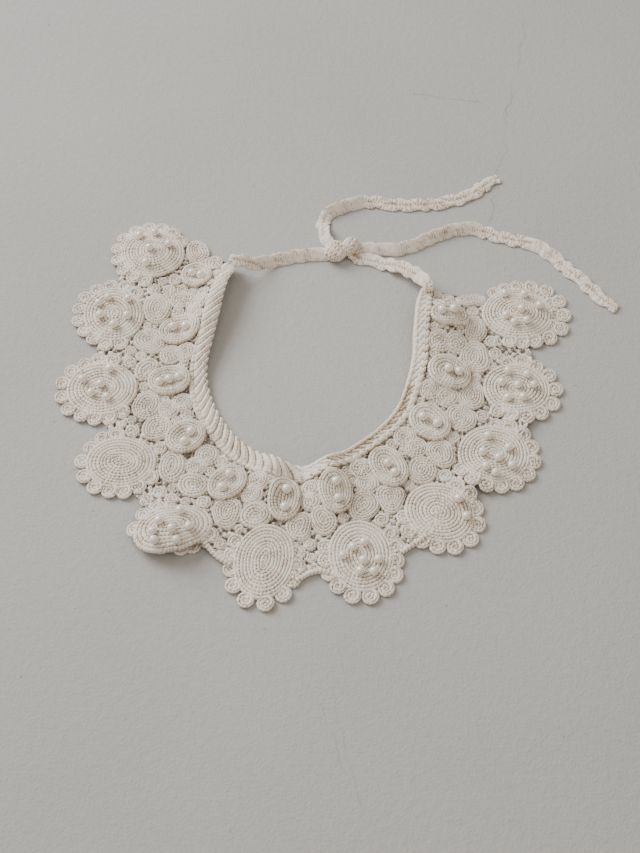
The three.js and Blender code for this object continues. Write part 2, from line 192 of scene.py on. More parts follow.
def make_piece(name: str, patch: Patch, material: Material) -> Piece:
    """Makes a visible piece from a patch, with its place in its mesh.

    Args:
        name: the piece's name.
        patch: its mesh, in mm from the middle of the neck opening.
        material: its finish.

    Returns:
        The new object, at the origin, riding on the collar's body.
    """
    mesh = bpy.data.meshes.new(name)
    sizes = np.where(patch.faces[:, 3] < 0, 3, 4)
    used = np.arange(4) < sizes[:, None]
    mesh.vertices.add(len(patch.corners))
    mesh.vertices.foreach_set("co", ((patch.corners + MIDDLE) * MM).astype(np.float32).ravel())
    mesh.loops.add(int(sizes.sum()))
    mesh.loops.foreach_set("vertex_index", patch.faces[used].astype(np.int32))
    mesh.polygons.add(len(sizes))
    mesh.polygons.foreach_set("loop_start", np.concatenate([[0], np.cumsum(sizes)[:-1]]).astype(np.int32))
    mesh.polygons.foreach_set("use_smooth", np.ones(len(sizes), dtype=bool))
    mesh.update(calc_edges=True)
    uv = mesh.uv_layers.new(name=STITCH_UV)
    uv.data.foreach_set("uv", patch.stitches[used].astype(np.float32).ravel())
    relief = mesh.attributes.new(RELIEF, "FLOAT", "POINT")
    relief.data.foreach_set("value", patch.relief.astype(np.float32))
    mesh.validate()
    mesh.materials.append(material)
    piece = bpy.data.objects.new(name, mesh)
    bpy.context.scene.collection.objects.link(piece)
    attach(piece, BODY)
    return piece


def dress(node: str) -> None:
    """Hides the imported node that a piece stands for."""
    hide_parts(node)


def smooth_line(points: Floats, step: float) -> Floats:
    """A smooth curve through points, by cubic pieces whose slopes are the chords of the neighbours.

    Args:
        points: the points to pass through, (n, k).
        step: the distance between the points given back.

    Returns:
        Points evenly spread along the curve, (m, k).
    """
    before = np.concatenate([2 * points[:1] - points[1:2], points[:-1]])
    after = np.concatenate([points[1:], 2 * points[-1:] - points[-2:-1]])
    slope = (after - before) / 2
    t = np.linspace(0, 1, 24, endpoint=False)[:, None, None]
    a, b, da, db = points[:-1], points[1:], slope[:-1], slope[1:]
    fine = (a * (1 + 2 * t) * (1 - t) ** 2 + da * t * (1 - t) ** 2
            + b * t * t * (3 - 2 * t) + db * t * t * (t - 1))
    fine = np.concatenate([fine.transpose(1, 0, 2).reshape(-1, points.shape[1]), points[-1:]])
    run = np.concatenate([[0], np.cumsum(np.linalg.norm(np.diff(fine[:, :3], axis=0), axis=1))])
    spots = np.linspace(0, run[-1], max(2, round(run[-1] / step)) + 1)
    return np.stack([np.interp(spots, run, column) for column in fine.T], axis=1)


def lengths_along(points: Floats) -> Floats:
    """The distance of each point from the first, along the line."""
    return np.concatenate([[0], np.cumsum(np.linalg.norm(np.diff(points, axis=0), axis=1))])


def arch(share: Floats) -> Floats:
    """The height of a half circle over its width: 0 at shares 0 and 1, and 1 between."""
    return np.sqrt(np.clip(1 - (2 * share - 1) ** 2, 0, 1))


def bump(value: Floats, spread: float) -> Floats:
    """A soft bump of height 1 at 0, which falls off over the spread."""
    return np.exp(-(value / spread) ** 2)


def axes_along(line: Floats) -> tuple[Floats, Floats, Floats]:
    """The three axes of a path: along it, level to its left, and up from both.

    Args:
        line: the path's points, (n, 3).

    Returns:
        Three arrays of unit vectors, (n, 3).
    """
    tangent = np.gradient(line, axis=0)
    tangent /= np.linalg.norm(tangent, axis=1, keepdims=True)
    level = np.stack([-tangent[:, 1], tangent[:, 0], np.zeros(len(line))], axis=1)
    level /= np.linalg.norm(level, axis=1, keepdims=True)
    return tangent, level, np.cross(tangent, level)


def rounded_ends(run: Floats, reach: float) -> Floats:
    """How full a bar is along its length: a quarter circle from 0 to 1 over the reach at either end."""
    near = np.clip(np.minimum(run, run[-1] - run) / reach, 0, 1)
    return np.sqrt(1 - (1 - near) ** 2)


def low_waves(ring: Floats, waves: int) -> Floats:
    """A ring of values with only its mean and its first few waves a turn left in it.

    Args:
        ring: values at even angles.
        waves: how many waves a turn stay.

    Returns:
        The smoothed values.
    """
    spectrum = np.fft.rfft(ring)
    spectrum[waves + 1:] = 0
    return np.fft.irfft(spectrum, len(ring))


def wave_of(rng: Generator, phase: Floats, rates: Sequence[float]) -> Floats:
    """An uneven wave of about 1 either way: the sum of sines with drawn starts.

    Args:
        rng: the seeded source of the starts.
        phase: where to read the wave, in turns.
        rates: the number of waves a turn in each sine.

    Returns:
        The wave's value at each phase.
    """
    starts = rng.uniform(0, TURN, len(rates))
    waves = [np.sin(TURN * rate * phase + start) for rate, start in zip(rates, starts)]
    return np.sum(waves, axis=0) / math.sqrt(len(rates))


# --- how the collar lies ---


@dataclass(frozen=True)
class Swell:
    """A soft rise of the collar off the floor: its place, height, and half spreads round and away."""

    bearing: float
    reach: float
    height: float
    along: float
    across: float


@dataclass(frozen=True)
class Cloth:
    """The underside of the collar as it lies."""

    settle: float = 0.4
    swells: tuple[Swell, ...] = (
        Swell(140, 57, 11.5, 51, 13),  # left shoulder of the band
        Swell(145, 111, 4.5, 17, 17),  # first petal
        Swell(255, 80, 6, 8, 22),  # crease, left ridge
        Swell(276, 78, 6.5, 9, 20),  # crease, right ridge
        Swell(238, 134, 9.5, 19, 17),  # fifth petal
        Swell(386, 60, 9, 42, 13),  # right shoulder of the band
        Swell(373, 77, 8.5, 12, 9.5),  # last bud
        Swell(346, 74, 3, 14, 11),  # ninth bud
        Swell(371, 115, 4, 17, 15),  # last petal
        Swell(313, 117, 3, 16, 10),  # the outer edges of the eighth and ninth petals
        Swell(338, 119, 2, 16, 10),
    )

    def lift(self, plan: Floats) -> Floats:
        """Height of the underside over the floor: the sum of the swells, less a little, never under 0.

        Args:
            plan: places on the floor, (..., 2).

        Returns:
            The height at each place.
        """
        bearing = bearing_of(plan)
        reach = np.hypot(plan[..., 0], plan[..., 1])
        height = np.zeros(reach.shape)
        for swell in self.swells:
            along = np.radians(bearing - swell.bearing) * swell.reach / swell.along
            across = (reach - swell.reach) / swell.across
            height += swell.height * np.exp(-along ** 2 - across ** 2)
        return np.maximum(0, height - self.settle)


def bearing_of(plan: Floats) -> Floats:
    """The direction of places from the middle of the neck opening, in degrees from 80 up to 440."""
    bearing = np.degrees(np.arctan2(plan[..., 1], plan[..., 0]))
    return np.where(bearing < 80, bearing + 360, bearing)


def reach_at(bearing: Floats, edge: Floats) -> Floats:
    """How far a line round the neck is from the middle of the opening, at bearings."""
    return np.interp(bearing, bearing_of(edge), np.hypot(edge[:, 0], edge[:, 1]))


@dataclass(frozen=True)
class Outline:
    """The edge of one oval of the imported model, as distances from its middle at even angles."""

    name: str
    hub: Floats
    far: Floats
    body: Floats
    spots: int = 180
    softness: float = 2.75  # how many neighbouring spots an outline is evened over

    @classmethod
    def of_node(cls, name: str) -> "Outline":
        """Reads a node's outline: its two middle points lie in most faces, and the rest on rays from them.

        Args:
            name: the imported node.

        Returns:
            Its outline.
        """
        mesh = frame["nodes"][name].data
        corners = np.empty(len(mesh.vertices) * 3)
        mesh.vertices.foreach_get("co", corners)
        found, uses = np.unique(np.round(corners.reshape(-1, 3) / MM, 3), axis=0, return_counts=True)
        hub = found[np.argsort(uses)[-2:], :2].mean(axis=0)
        away = found[:, :2] - hub
        reach = np.hypot(away[:, 0], away[:, 1])
        away, reach = away[reach > 0.5], reach[reach > 0.5]
        rays, which = np.unique(
            np.round(np.arctan2(away[:, 1], away[:, 0]), 2), return_inverse=True)
        far = np.zeros(len(rays))
        body = np.full(len(rays), 1e3)
        np.maximum.at(far, which.reshape(-1), reach)
        np.minimum.at(body, which.reshape(-1), reach)
        even = np.arange(cls.spots) * TURN / cls.spots
        reach_round = 9
        near = bump(np.arange(-reach_round, reach_round + 1), cls.softness)
        near /= near.sum()

        def softened(values: Floats) -> Floats:
            """Values at even angles, each the weighted mean of those round it."""
            ring = np.interp(even, rays, values, period=TURN)
            return np.convolve(np.pad(ring, reach_round, mode="wrap"), near, mode="valid")

        return cls(name, hub - MIDDLE[:2], softened(far), softened(body))

    @property
    def bearing(self) -> float:
        """The direction of the middle from the neck opening, in degrees."""
        return float(bearing_of(self.hub))

    def edge(self, angle: Floats | float, inner: bool = False) -> Floats:
        """Distance of the edge from the middle at angles in radians; inner leaves a petal's shells out."""
        even = np.arange(self.spots) * TURN / self.spots
        return np.interp(angle, even, self.body if inner else self.far, period=TURN)

    def axes(self, inner: bool = False) -> tuple[float, float, float]:
        """The long axis and the half sizes, from the outline's second moments.

        Args:
            inner: whether a petal's shells are left out.

        Returns:
            The long axis's angle in radians, the half length and the half width.
        """
        even = np.arange(self.spots) * TURN / self.spots
        radius = self.edge(even, inner)
        points = radius[:, None] * np.stack([np.cos(even), np.sin(even)], axis=1)
        values, ways = np.linalg.eigh(points.T @ points)
        lie = math.atan2(ways[1, 1], ways[0, 1])
        spread = [np.ptp(points @ ways[:, k]) / 2 for k in (1, 0)]
        return lie, float(spread[0]), float(spread[1])

    def area(self) -> float:
        """The area inside the outline, in square metres."""
        return float(np.sum(self.far ** 2) / 2 * TURN / self.spots) * MM * MM

    def flat(self) -> tuple[float, float]:
        """The width and length of the oval, in metres, with the width at least a sheet's least."""
        _, long, wide = self.axes()
        return max(LEAST_WIDTH, 2 * wide * MM), max(LEAST_WIDTH, 2 * long * MM)


def pressed(halves: Sequence[tuple[float, float]], wall: float) -> tuple[tuple[float, float], float]:
    """The flat size of ovals in a row, each pressed flat with its edge laid down outside it.

    Args:
        halves: the half width and half length of each oval, in mm.
        wall: how much the edge adds all round, in mm.

    Returns:
        The width and length of the row in metres, and the area of the ovals in square metres.
    """
    sizes = np.array(halves) + wall
    width = max(LEAST_WIDTH, 2 * float(sizes[:, 0].max()) * MM)
    return (width, 2 * float(sizes[:, 1].sum()) * MM), float(math.pi * sizes.prod(axis=1).sum()) * MM * MM


def strand_patch(route: Sequence[Point], radius: float, stitch: float) -> Patch:
    """A plain chain of stitches: a tube along a route, a little thicker at each stitch.

    Args:
        route: the points of its middle line.
        radius: its half thickness.
        stitch: the length of a stitch.

    Returns:
        The tube's patch, closed at both ends.
    """
    sides, step, proud = 16, 0.35, 0.05
    line = smooth_line(np.array(route), step)
    run = lengths_along(line)[:, None]
    _, level, upright = axes_along(line)
    turn = (np.arange(sides) * TURN / sides)[None, :]
    links = np.cos(TURN * (run / stitch + 0.35 * np.abs(np.cos(turn))))
    away = radius * (1 + proud * links) * rounded_ends(run, radius)
    points = (line[:, None] + (away * np.cos(turn))[..., None] * level[:, None]
              + (away * np.sin(turn))[..., None] * upright[:, None])
    stitches = np.stack(np.broadcast_arrays(run / stitch, turn / TURN * 4), 2)
    # painted shade: lower relief between the links takes the darker groove colour
    return grid_patch(points, 0.6 + 0.3 * links, stitches, ring=True).welded()


# --- spirals ---


ACROSS = np.array([[0.2, 0.5, 0.8]])  # where the mesh's lines run across a row


@dataclass(frozen=True)
class Yarn:
    """The stitches that every spiral is worked in."""

    row: float = 1.7  # from one row to the next
    stitch: float = 1.9  # along a row
    depth: float = 0.75  # from a row's top to the groove beside it
    ridge: float = 0.2  # how far stitches stand out along a row
    pit: float = 0.25  # how far a groove drops between stitches
    slant: float = 0.32  # how far a stitch's two legs run back, in stitches
    samples: float = 3.0  # mesh columns to a stitch
    jitter: float = 0.22  # how far stitches stray along a row

    def rows_in(self, width: float) -> int:
        """The number of whole turns that fit a half width."""
        return max(1, round(width / self.row - 0.25))

    def worked(self, run: Floats, full: Floats, base: Floats, crown: Floats) -> tuple[Floats, Floats]:
        """A row's surface: half a circle from the grooves up to the crown, with two legs to each stitch.

        Args:
            run: the distance along the row in stitches, (n, 1).
            full: how wide the row is, from 0 to 1, (n, 1).
            base: the level of the grooves across the row, (n, m).
            crown: the level of its top, (n, m).

        Returns:
            The height across the row, and the height of the legs from -1 to 1.
        """
        legs = np.cos(TURN * (run + self.slant * np.abs(2 * ACROSS - 1) / 0.6))
        rise = (crown - base) * arch(ACROSS) * (1 - 0.1 * bump(ACROSS - 0.5, 0.1))
        return base + rise * np.sqrt(full) + self.ridge * full * legs, legs


WORKED = Yarn()  # petals and shells
FINE = Yarn(row=1.5, stitch=1.7, depth=0.85, ridge=0.22, pit=0.22, samples=3.0)  # the small ovals
CURLED = Yarn(row=1.9, stitch=1.8, depth=0.7, ridge=0.18, pit=0.2, samples=2.6)  # the petals' shells


def even_rim(radius: float) -> Callable[[Floats], Floats]:
    """The rim of a round: the same radius at every angle."""
    return lambda angle: np.full(np.shape(angle), radius)


@dataclass(frozen=True)
class Spiral:
    """A round or oval worked in a spiral from a short chain in its middle out to its edge.

    A place in it has an angle and a share from 0 on the chain to 1 at the edge:
    centre + (1 - share) * chain * cos(angle - lie) along the chain + share * rim(angle) along the angle.
    """

    centre: Floats
    lie: float  # the chain's direction in radians
    chain: float  # half the chain's length
    rim: Callable[[Floats], Floats]
    size: float  # the mean radius
    rows: int
    crown: Profile  # shares of the way out, and the height of the rows' tops there
    seed: int
    sense: int = 1  # 1 if it winds to the left, -1 to the right
    yarn: Yarn = WORKED
    droop: float = 0.0  # how far it hangs below the cloth's surface
    tip: tuple[float, float] = (0.0, 0.0)  # the slope that it lies at, resting on its low side

    def place(self, angle: Floats, share: Floats) -> Floats:
        """The places at angles and shares, by the formula above.

        Args:
            angle: angles in radians.
            share: shares of the way out.

        Returns:
            The places in plan, (n, 2).
        """
        chain = (1 - share) * self.chain * np.cos(angle - self.lie)
        rim = share * self.rim(angle)
        along = np.array([math.cos(self.lie), math.sin(self.lie)])
        way = np.stack([np.cos(angle), np.sin(angle)], axis=-1)
        return self.centre + chain[..., None] * along + rim[..., None] * way

    def top(self, share: Floats | float) -> Floats:
        """Height of the rows' tops over the underside at a share of the way out."""
        shares, heights = zip(*self.crown)
        return np.interp(share, shares, heights)

    @classmethod
    def small_round(cls, centre: Floats, radius: float, **rest: object) -> "Spiral":
        """A small round of a radius on a centre, with its other fields."""
        return cls(centre=centre, rim=even_rim(radius), size=radius, rows=FINE.rows_in(radius), yarn=FINE,
                   **rest)

    @classmethod
    def small_oval(cls, outline: Outline, grow: float, **rest: object) -> "Spiral":
        """A small oval.

        Args:
            outline: where it lies.
            grow: how much larger than its outline it is worked.
            rest: its other fields.

        Returns:
            The spiral, with a chain as long as the oval is slender.
        """
        lie, long, wide = outline.axes()
        return cls(centre=outline.hub, lie=lie, chain=max(0.3, (long - wide) * 0.9),
                   rim=lambda angle: outline.edge(angle) * grow, size=(long + wide) / 2, yarn=FINE, **rest)

    def turns(self, rng: Generator, per_turn: int) -> tuple[Floats, Floats]:
        """The course of the spiral's edge: outwards by one row a turn, tapering out along its last half turn.

        Args:
            rng: the seeded source of its sway.
            per_turn: mesh columns to a turn.

        Returns:
            The turns made and the share of the way out, at each column.
        """
        phase = np.arange(per_turn * (self.rows + 1) + 1) / per_turn
        part = phase % 1
        share = np.where(phase < self.rows, phase / (self.rows + np.minimum(part, 1 - part)), 1.0)
        sway = wave_of(rng, phase, (1.3, 2.7, 4.1)) * 0.13 / self.rows
        return phase, share + sway * np.minimum(1, share * self.rows) * (1 - share ** 4)

    def seated(self, cloth: Cloth, plan: Floats, heights: Floats) -> Floats:
        """Sets points on the cloth, let down by the droop and tipped to rest on the low side.

        Args:
            cloth: the surface that it lies on.
            plan: the points' places, (n, 2).
            heights: their heights over the underside.

        Returns:
            The points, (n, 3).
        """
        lift = np.maximum(0, cloth.lift(plan) - self.droop)
        lift += (plan - self.centre) @ np.array(self.tip) + math.hypot(*self.tip) * self.size
        return np.column_stack([plan, lift + heights])

    def faced(self, *grids: tuple[Indices, Floats, Floats]) -> tuple[Indices, Floats]:
        """The faces between points on grids, turned outwards whichever way the spiral winds.

        Args:
            grids: for each grid the numbers of its points, and its stitch coordinates along and across.

        Returns:
            The faces, and the stitch coordinates at their corners.
        """
        order = slice(None, None, self.sense)
        faces, stitches = [], []
        for numbers, along, across in grids:
            steps = np.stack(np.broadcast_arrays(along[:, None], across[None, :]), axis=2)
            faces.append(quads(numbers).reshape(-1, 4)[:, order])
            stitches.append(quads(steps).reshape(-1, 4, 2)[:, order])
        return np.concatenate(faces), np.concatenate(stitches)

    def patch(self, cloth: Cloth) -> Patch:
        """Works the spiral as one closed skin.

        Between one turn's edge and the next is a row of stitches, and the groove between rows has a pit
        between stitches. Three rings close the underside.

        Args:
            cloth: the surface that it lies on.

        Returns:
            The skin's patch.
        """
        yarn = self.yarn
        rng = np.random.default_rng(self.seed)
        per_turn = 2 * round(TURN * self.size / yarn.stitch * yarn.samples / 2)
        phase, share = self.turns(rng, per_turn)
        angle = self.lie + self.sense * TURN * phase
        last_turn = slice(-per_turn - 1, None)

        def turn_before(chain: NDArray, edge: NDArray) -> NDArray:
            """The edge's values one turn further in, with the chain's for the first turn."""
            return np.concatenate([chain, edge[:-per_turn]])

        outer = self.place(angle, share)
        chain = self.place(angle[:per_turn], np.zeros(per_turn))
        inner = turn_before(chain, outer)
        inner_share = turn_before(np.zeros(per_turn), share)
        full = np.clip(np.linalg.norm(outer - inner, axis=1) / yarn.row, 0, 1)
        run = lengths_along((inner + outer) / 2) / yarn.stitch
        run = run + yarn.jitter * wave_of(rng, run / 10, (1.1, 2.3, 3.1))
        calm = np.minimum(1, 2 * (1 - share)) * np.minimum(1, share * self.rows)
        slow, quick = wave_of(rng, phase, (0.7, 1.9, 3.3)), wave_of(rng, run / 7, (1.3, 2.9))
        swell = (0.16 * slow + 0.06 * quick) * calm

        low = np.maximum(0.35, self.top(share) - yarn.depth + swell)
        deeper = 1 + 0.6 * wave_of(rng, phase, (2.3, 3.7, 5.9))
        outer_up = low - yarn.pit * full * (0.7 * deeper + 0.5 - 0.5 * np.cos(TURN * run))
        outer_up[-1] = outer_up[-per_turn - 1]
        chain_up = np.full(per_turn, self.top(0.0) - yarn.depth)
        inner_up = turn_before(chain_up, outer_up)
        between = inner[:, None] * (1 - ACROSS[..., None]) + outer[:, None] * ACROSS[..., None]
        crown = self.top(inner_share[:, None] * (1 - ACROSS) + share[:, None] * ACROSS) + swell[:, None]
        base = inner_up[:, None] * (1 - ACROSS) + outer_up[:, None] * ACROSS
        up, legs = yarn.worked(run[:, None], full[:, None], base, crown)

        inset = 1 - 0.3 / self.size
        rings = [self.place(angle[last_turn], np.full(per_turn + 1, s)) for s in (inset, 0.5, 0.0)]
        under = np.concatenate(rings)
        plan = np.concatenate([outer, chain, between.reshape(-1, 2), under])
        heights = np.concatenate([outer_up, chain_up, up.ravel(), np.zeros(len(under))])
        # painted shade: relief 0 along the grooves and the chain, 0.3 on the last edge and 0.35 underneath,
        # so these take the darker groove colour
        edge_relief = np.full(len(outer), 0.3)
        edge_relief[:-per_turn - 1] = 0.0
        relief = np.concatenate([
            edge_relief, np.zeros(per_turn), (0.75 + 0.25 * legs).ravel(), np.full(len(under), 0.35)])

        edge_ids, chain_ids, between_ids, under_ids = np.split(
            np.arange(len(plan)), np.cumsum([len(outer), per_turn, up.size]))
        ids = np.column_stack([turn_before(chain_ids, edge_ids), between_ids.reshape(up.shape), edge_ids])
        under_ids = np.column_stack([edge_ids[last_turn], under_ids.reshape(3, -1).T])
        steps = np.array([0, *ACROSS[0], 1])
        under_steps = np.array([0, 0.5, 1.5, 2.5]) * self.size / 4
        faces, stitches = self.faced((ids, run, steps), (under_ids, run[last_turn], under_steps))
        return Patch(self.seated(cloth, plan, heights), faces, relief, stitches).welded()


# --- finishes ---


def set_sockets(tree: Tree, node: bpy.types.Node, sockets: Sockets) -> None:
    """Gives a node's sockets numbers or colours, or links other nodes' outputs to them.

    Args:
        tree: the node tree.
        node: the node.
        sockets: numbers, colours or outputs, by the socket's name or number.
    """
    for key, value in sockets.items():
        socket = node.inputs[key]
        if isinstance(value, Socket):
            tree.links.new(value, socket)
        else:
            socket.default_value = value


def add_node(tree: Tree, kind: str, sockets: Sockets | None = None, **values: object) -> bpy.types.Node:
    """Adds a node and sets its sockets and its own properties.

    Args:
        tree: the node tree.
        kind: the node's type, after "ShaderNode".
        sockets: numbers, colours or other nodes' outputs, by the socket's name or number.
        values: properties by name.

    Returns:
        The node.
    """
    made = tree.nodes.new("ShaderNode" + kind)
    for key, value in values.items():
        setattr(made, key, value)
    set_sockets(tree, made, sockets or {})
    return made


def maths(tree: Tree, operation: str, a: object, b: object = 0.0, c: object = 0.5) -> Socket:
    """The result of one sum on up to three numbers or sockets."""
    return add_node(tree, "Math", {0: a, 1: b, 2: c}, operation=operation).outputs[0]


def vectors(tree: Tree, operation: str, a: object, b: object, output: int = 0) -> Socket:
    """The result of one sum on two vectors: output 0 for a vector, 1 for a number."""
    return add_node(tree, "VectorMath", {0: a, 1: b}, operation=operation).outputs[output]


def swayed(tree: Tree, value: object, by: Socket, weight: object) -> Socket:
    """A value raised or lowered by how far a noise is from its middle, times a weight."""
    return maths(tree, "ADD", value, maths(tree, "MULTIPLY", maths(tree, "SUBTRACT", by, 0.5), weight))


def levels(tree: Tree, value: Socket, low: float, high: float, soft: bool = False) -> Socket:
    """How far a value is from one level to another, from 0 to 1, eased at both ends if soft."""
    kind = "SMOOTHSTEP" if soft else "LINEAR"
    return add_node(tree, "MapRange", {"Value": value, "From Min": low, "From Max": high},
                    interpolation_type=kind).outputs[0]


def blend(tree: Tree, share: object, a: object, b: object, kind: str = "MIX") -> Socket:
    """The colour between two colours at a share, or their product and so on by kind."""
    return add_node(tree, "Mix", {0: share, 6: a, 7: b}, data_type="RGBA", blend_type=kind).outputs[2]


def toned(tree: Tree, colour: Socket, shade: Socket) -> Socket:
    """A colour made lighter or darker by a shade, the same in each channel."""
    grey = add_node(tree, "CombineXYZ", {0: shade, 1: shade, 2: shade}).outputs[0]
    return blend(tree, 1.0, colour, grey, "MULTIPLY")


def noise(tree: Tree, place: Socket, scale: float, detail: float = 2.0) -> Socket:
    """A noise value at a place."""
    return add_node(tree, "TexNoise", {"Vector": place, "Scale": scale, "Detail": detail}).outputs["Fac"]


def new_material(name: str) -> tuple[Material, Tree, bpy.types.Node, Socket]:
    """Makes a material.

    Args:
        name: its name.

    Returns:
        The material, its node tree, its shader, and the place on the piece's own coordinates.
    """
    material = bpy.data.materials.new(name)
    material.use_nodes = True
    tree = material.node_tree
    return material, tree, tree.nodes["Principled BSDF"], add_node(tree, "TexCoord").outputs["Object"]


def new_group(name: str, inputs: dict[str, str], outputs: dict[str, str]) -> Tree:
    """A shader node group with named sockets.

    Args:
        name: the group's name.
        inputs: socket types by name.
        outputs: socket types by name.

    Returns:
        The group, with its input and output nodes called "in" and "out".
    """
    group = bpy.data.node_groups.new(name, "ShaderNodeTree")
    for names, side in ((inputs, "INPUT"), (outputs, "OUTPUT")):
        for key, kind in names.items():
            group.interface.new_socket(key, in_out=side, socket_type=kind)
    group.nodes.new("NodeGroupInput").name = "in"
    group.nodes.new("NodeGroupOutput").name = "out"
    return group


FLOAT, COLOUR, VECTOR = "NodeSocketFloat", "NodeSocketColor", "NodeSocketVector"


def ply_group() -> Tree:
    """The plies of the yarn: slanting ridges along a row, mirrored at its middle, with a fibre noise.

    Returns:
        A group that takes stitch coordinates, a place and the number of plies, and gives a height.
    """
    group = new_group("yarn ply", {"Stitches": VECTOR, "Place": VECTOR, "Plies": FLOAT}, {"Height": FLOAT})
    given = group.nodes["in"].outputs
    uv = add_node(group, "SeparateXYZ", {0: given["Stitches"]}).outputs
    side = maths(group, "ABSOLUTE", maths(group, "SUBTRACT", uv["Y"], 0.5))
    along = maths(group, "MULTIPLY", uv["X"], given["Plies"])
    phase = maths(group, "ADD", along, maths(group, "MULTIPLY", side, 3.0))
    ridge = maths(group, "SINE", maths(group, "MULTIPLY", phase, TURN))
    ridge = maths(group, "MULTIPLY_ADD", ridge, 0.5, 0.5)
    fibre = noise(group, given["Place"], 2600.0, 3.0)
    total = maths(group, "ADD", maths(group, "MULTIPLY", ridge, 0.55), maths(group, "MULTIPLY", fibre, 0.6))
    group.links.new(total, group.nodes["out"].inputs["Height"])
    return group


def tone_and_shade_group() -> Tree:
    """The colour of worked cotton: a darker, warmer painted shade where the relief is low, in the grooves and
    between the stitches' legs, and a tone a little uneven from stitch to stitch.

    Returns:
        A group that takes relief, a place, stitch coordinates, two colours and how uneven they are, and gives
        a colour.
    """
    sockets = {"Relief": FLOAT, "Place": VECTOR, "Stitches": VECTOR, "Clean": COLOUR, "Groove": COLOUR,
               "Uneven": FLOAT}
    group = new_group("cotton tone", sockets, {"Color": COLOUR})
    given = group.nodes["in"].outputs
    speck = noise(group, given["Place"], 900.0, 2.0)
    patchy = noise(group, given["Place"], 60.0, 3.0)
    worn = noise(group, given["Place"], 170.0, 2.0)
    uv = add_node(group, "SeparateXYZ", {0: given["Stitches"]}).outputs
    across = maths(group, "ABSOLUTE", maths(group, "SUBTRACT", maths(group, "FRACT", uv["Y"]), 0.5))
    phase = maths(group, "ADD", uv["X"], maths(group, "MULTIPLY", across, 1.1))
    legs = maths(group, "COSINE", maths(group, "MULTIPLY", phase, TURN))
    high = maths(group, "ADD", given["Relief"], maths(group, "MULTIPLY", legs, 0.17))
    high = swayed(group, swayed(group, high, speck, 0.8), worn, 1.3)
    mixed = blend(group, levels(group, high, 0.0, 0.75, soft=True), given["Groove"], given["Clean"])
    final = toned(group, mixed, swayed(group, 1.0, patchy, given["Uneven"]))
    group.links.new(final, group.nodes["out"].inputs["Color"])
    return group


def use_group(tree: Tree, name: str, build: Callable[[], Tree], sockets: Sockets) -> Socket:
    """Places a shared group, built the first time that it is asked for.

    Args:
        tree: the node tree.
        name: the group's name.
        build: makes the group.
        sockets: numbers, colours or outputs by the name of the group's input.

    Returns:
        The group's output.
    """
    group = bpy.data.node_groups.get(name) or build()
    return add_node(tree, "Group", sockets, node_tree=group).outputs[0]


@dataclass(frozen=True)
class CottonFinish:
    """Cream two-ply cotton, matt, with a soft fuzz and painted shade in its grooves."""

    name: str = "cream cotton"
    unshaded: Colour = (0.935, 0.86, 0.76, 1.0)
    # painted shade: the darker warm colour painted in the grooves and hollows, where the relief is low
    groove: Colour = (0.41, 0.30, 0.195, 1.0)
    uneven: float = 0.16
    plies: float = 2.0
    bump: float = 0.55
    deep: float = 0.00022

    def build(self) -> Material:
        """Builds the material: tone and painted groove shade on the base colour, plies and fibres as bump.

        Returns:
            The material.
        """
        material, tree, shader, place = new_material(self.name)
        stitches = add_node(tree, "UVMap", uv_map=STITCH_UV).outputs[0]
        relief = add_node(tree, "Attribute", attribute_name=RELIEF).outputs["Fac"]
        tone = use_group(tree, "cotton tone", tone_and_shade_group, {
            "Relief": relief, "Place": place, "Stitches": stitches, "Clean": self.unshaded,
            "Groove": self.groove, "Uneven": self.uneven})
        ply = use_group(tree, "yarn ply", ply_group, {
            "Stitches": stitches, "Place": place, "Plies": self.plies})
        rough = add_node(tree, "Bump", {"Height": ply, "Strength": self.bump, "Distance": self.deep})
        set_sockets(tree, shader, {
            "Base Color": tone, "Normal": rough.outputs["Normal"], "Roughness": 0.92,
            "Specular IOR Level": 0.25, "Sheen Weight": 0.25, "Sheen Roughness": 0.45})
        return material


@dataclass(frozen=True)
class PearlFinish:
    """A cream glossy bead with a clear coat."""

    name: str = "cream pearl"
    pale: Colour = (0.95, 0.89, 0.81, 1.0)
    deep: Colour = (0.86, 0.77, 0.66, 1.0)

    def build(self) -> Material:
        """Builds the material: a cloudy cream under a clear coat, with a slightly uneven gloss.

        Returns:
            The material.
        """
        material, tree, shader, place = new_material(self.name)
        colour = blend(tree, noise(tree, place, 220.0, 2.0), self.deep, self.pale)
        gloss = add_node(tree, "MapRange", {
            "Value": noise(tree, place, 500.0, 1.0), "To Min": 0.16, "To Max": 0.26})
        set_sockets(tree, shader, {
            "Base Color": colour, "Roughness": gloss.outputs[0], "Subsurface Weight": 0.15,
            "Subsurface Scale": 0.001, "Coat Weight": 1.0, "Coat Roughness": 0.05, "Coat IOR": 2.2,
            "Sheen Weight": 0.1})
        return material


def hairline_group() -> Tree:
    """The distance from one straight stretch of a crack: from the point of it that lies nearest.

    Returns:
        A group that takes a place and the stretch's two ends, and gives the distance in metres.
    """
    group = new_group("hairline", {"Place": VECTOR, "From": VECTOR, "To": VECTOR}, {"Distance": FLOAT})
    given = group.nodes["in"].outputs
    away = vectors(group, "SUBTRACT", given["Place"], given["From"])
    whole = vectors(group, "SUBTRACT", given["To"], given["From"])
    along, length = (vectors(group, "DOT_PRODUCT", way, whole, 1) for way in (away, whole))
    share = add_node(group, "Clamp", {0: maths(group, "DIVIDE", along, length)}).outputs[0]
    near = add_node(group, "VectorMath", {0: whole, "Scale": share}, operation="SCALE").outputs[0]
    group.links.new(vectors(group, "DISTANCE", away, near, 1), group.nodes["out"].inputs["Distance"])
    return group


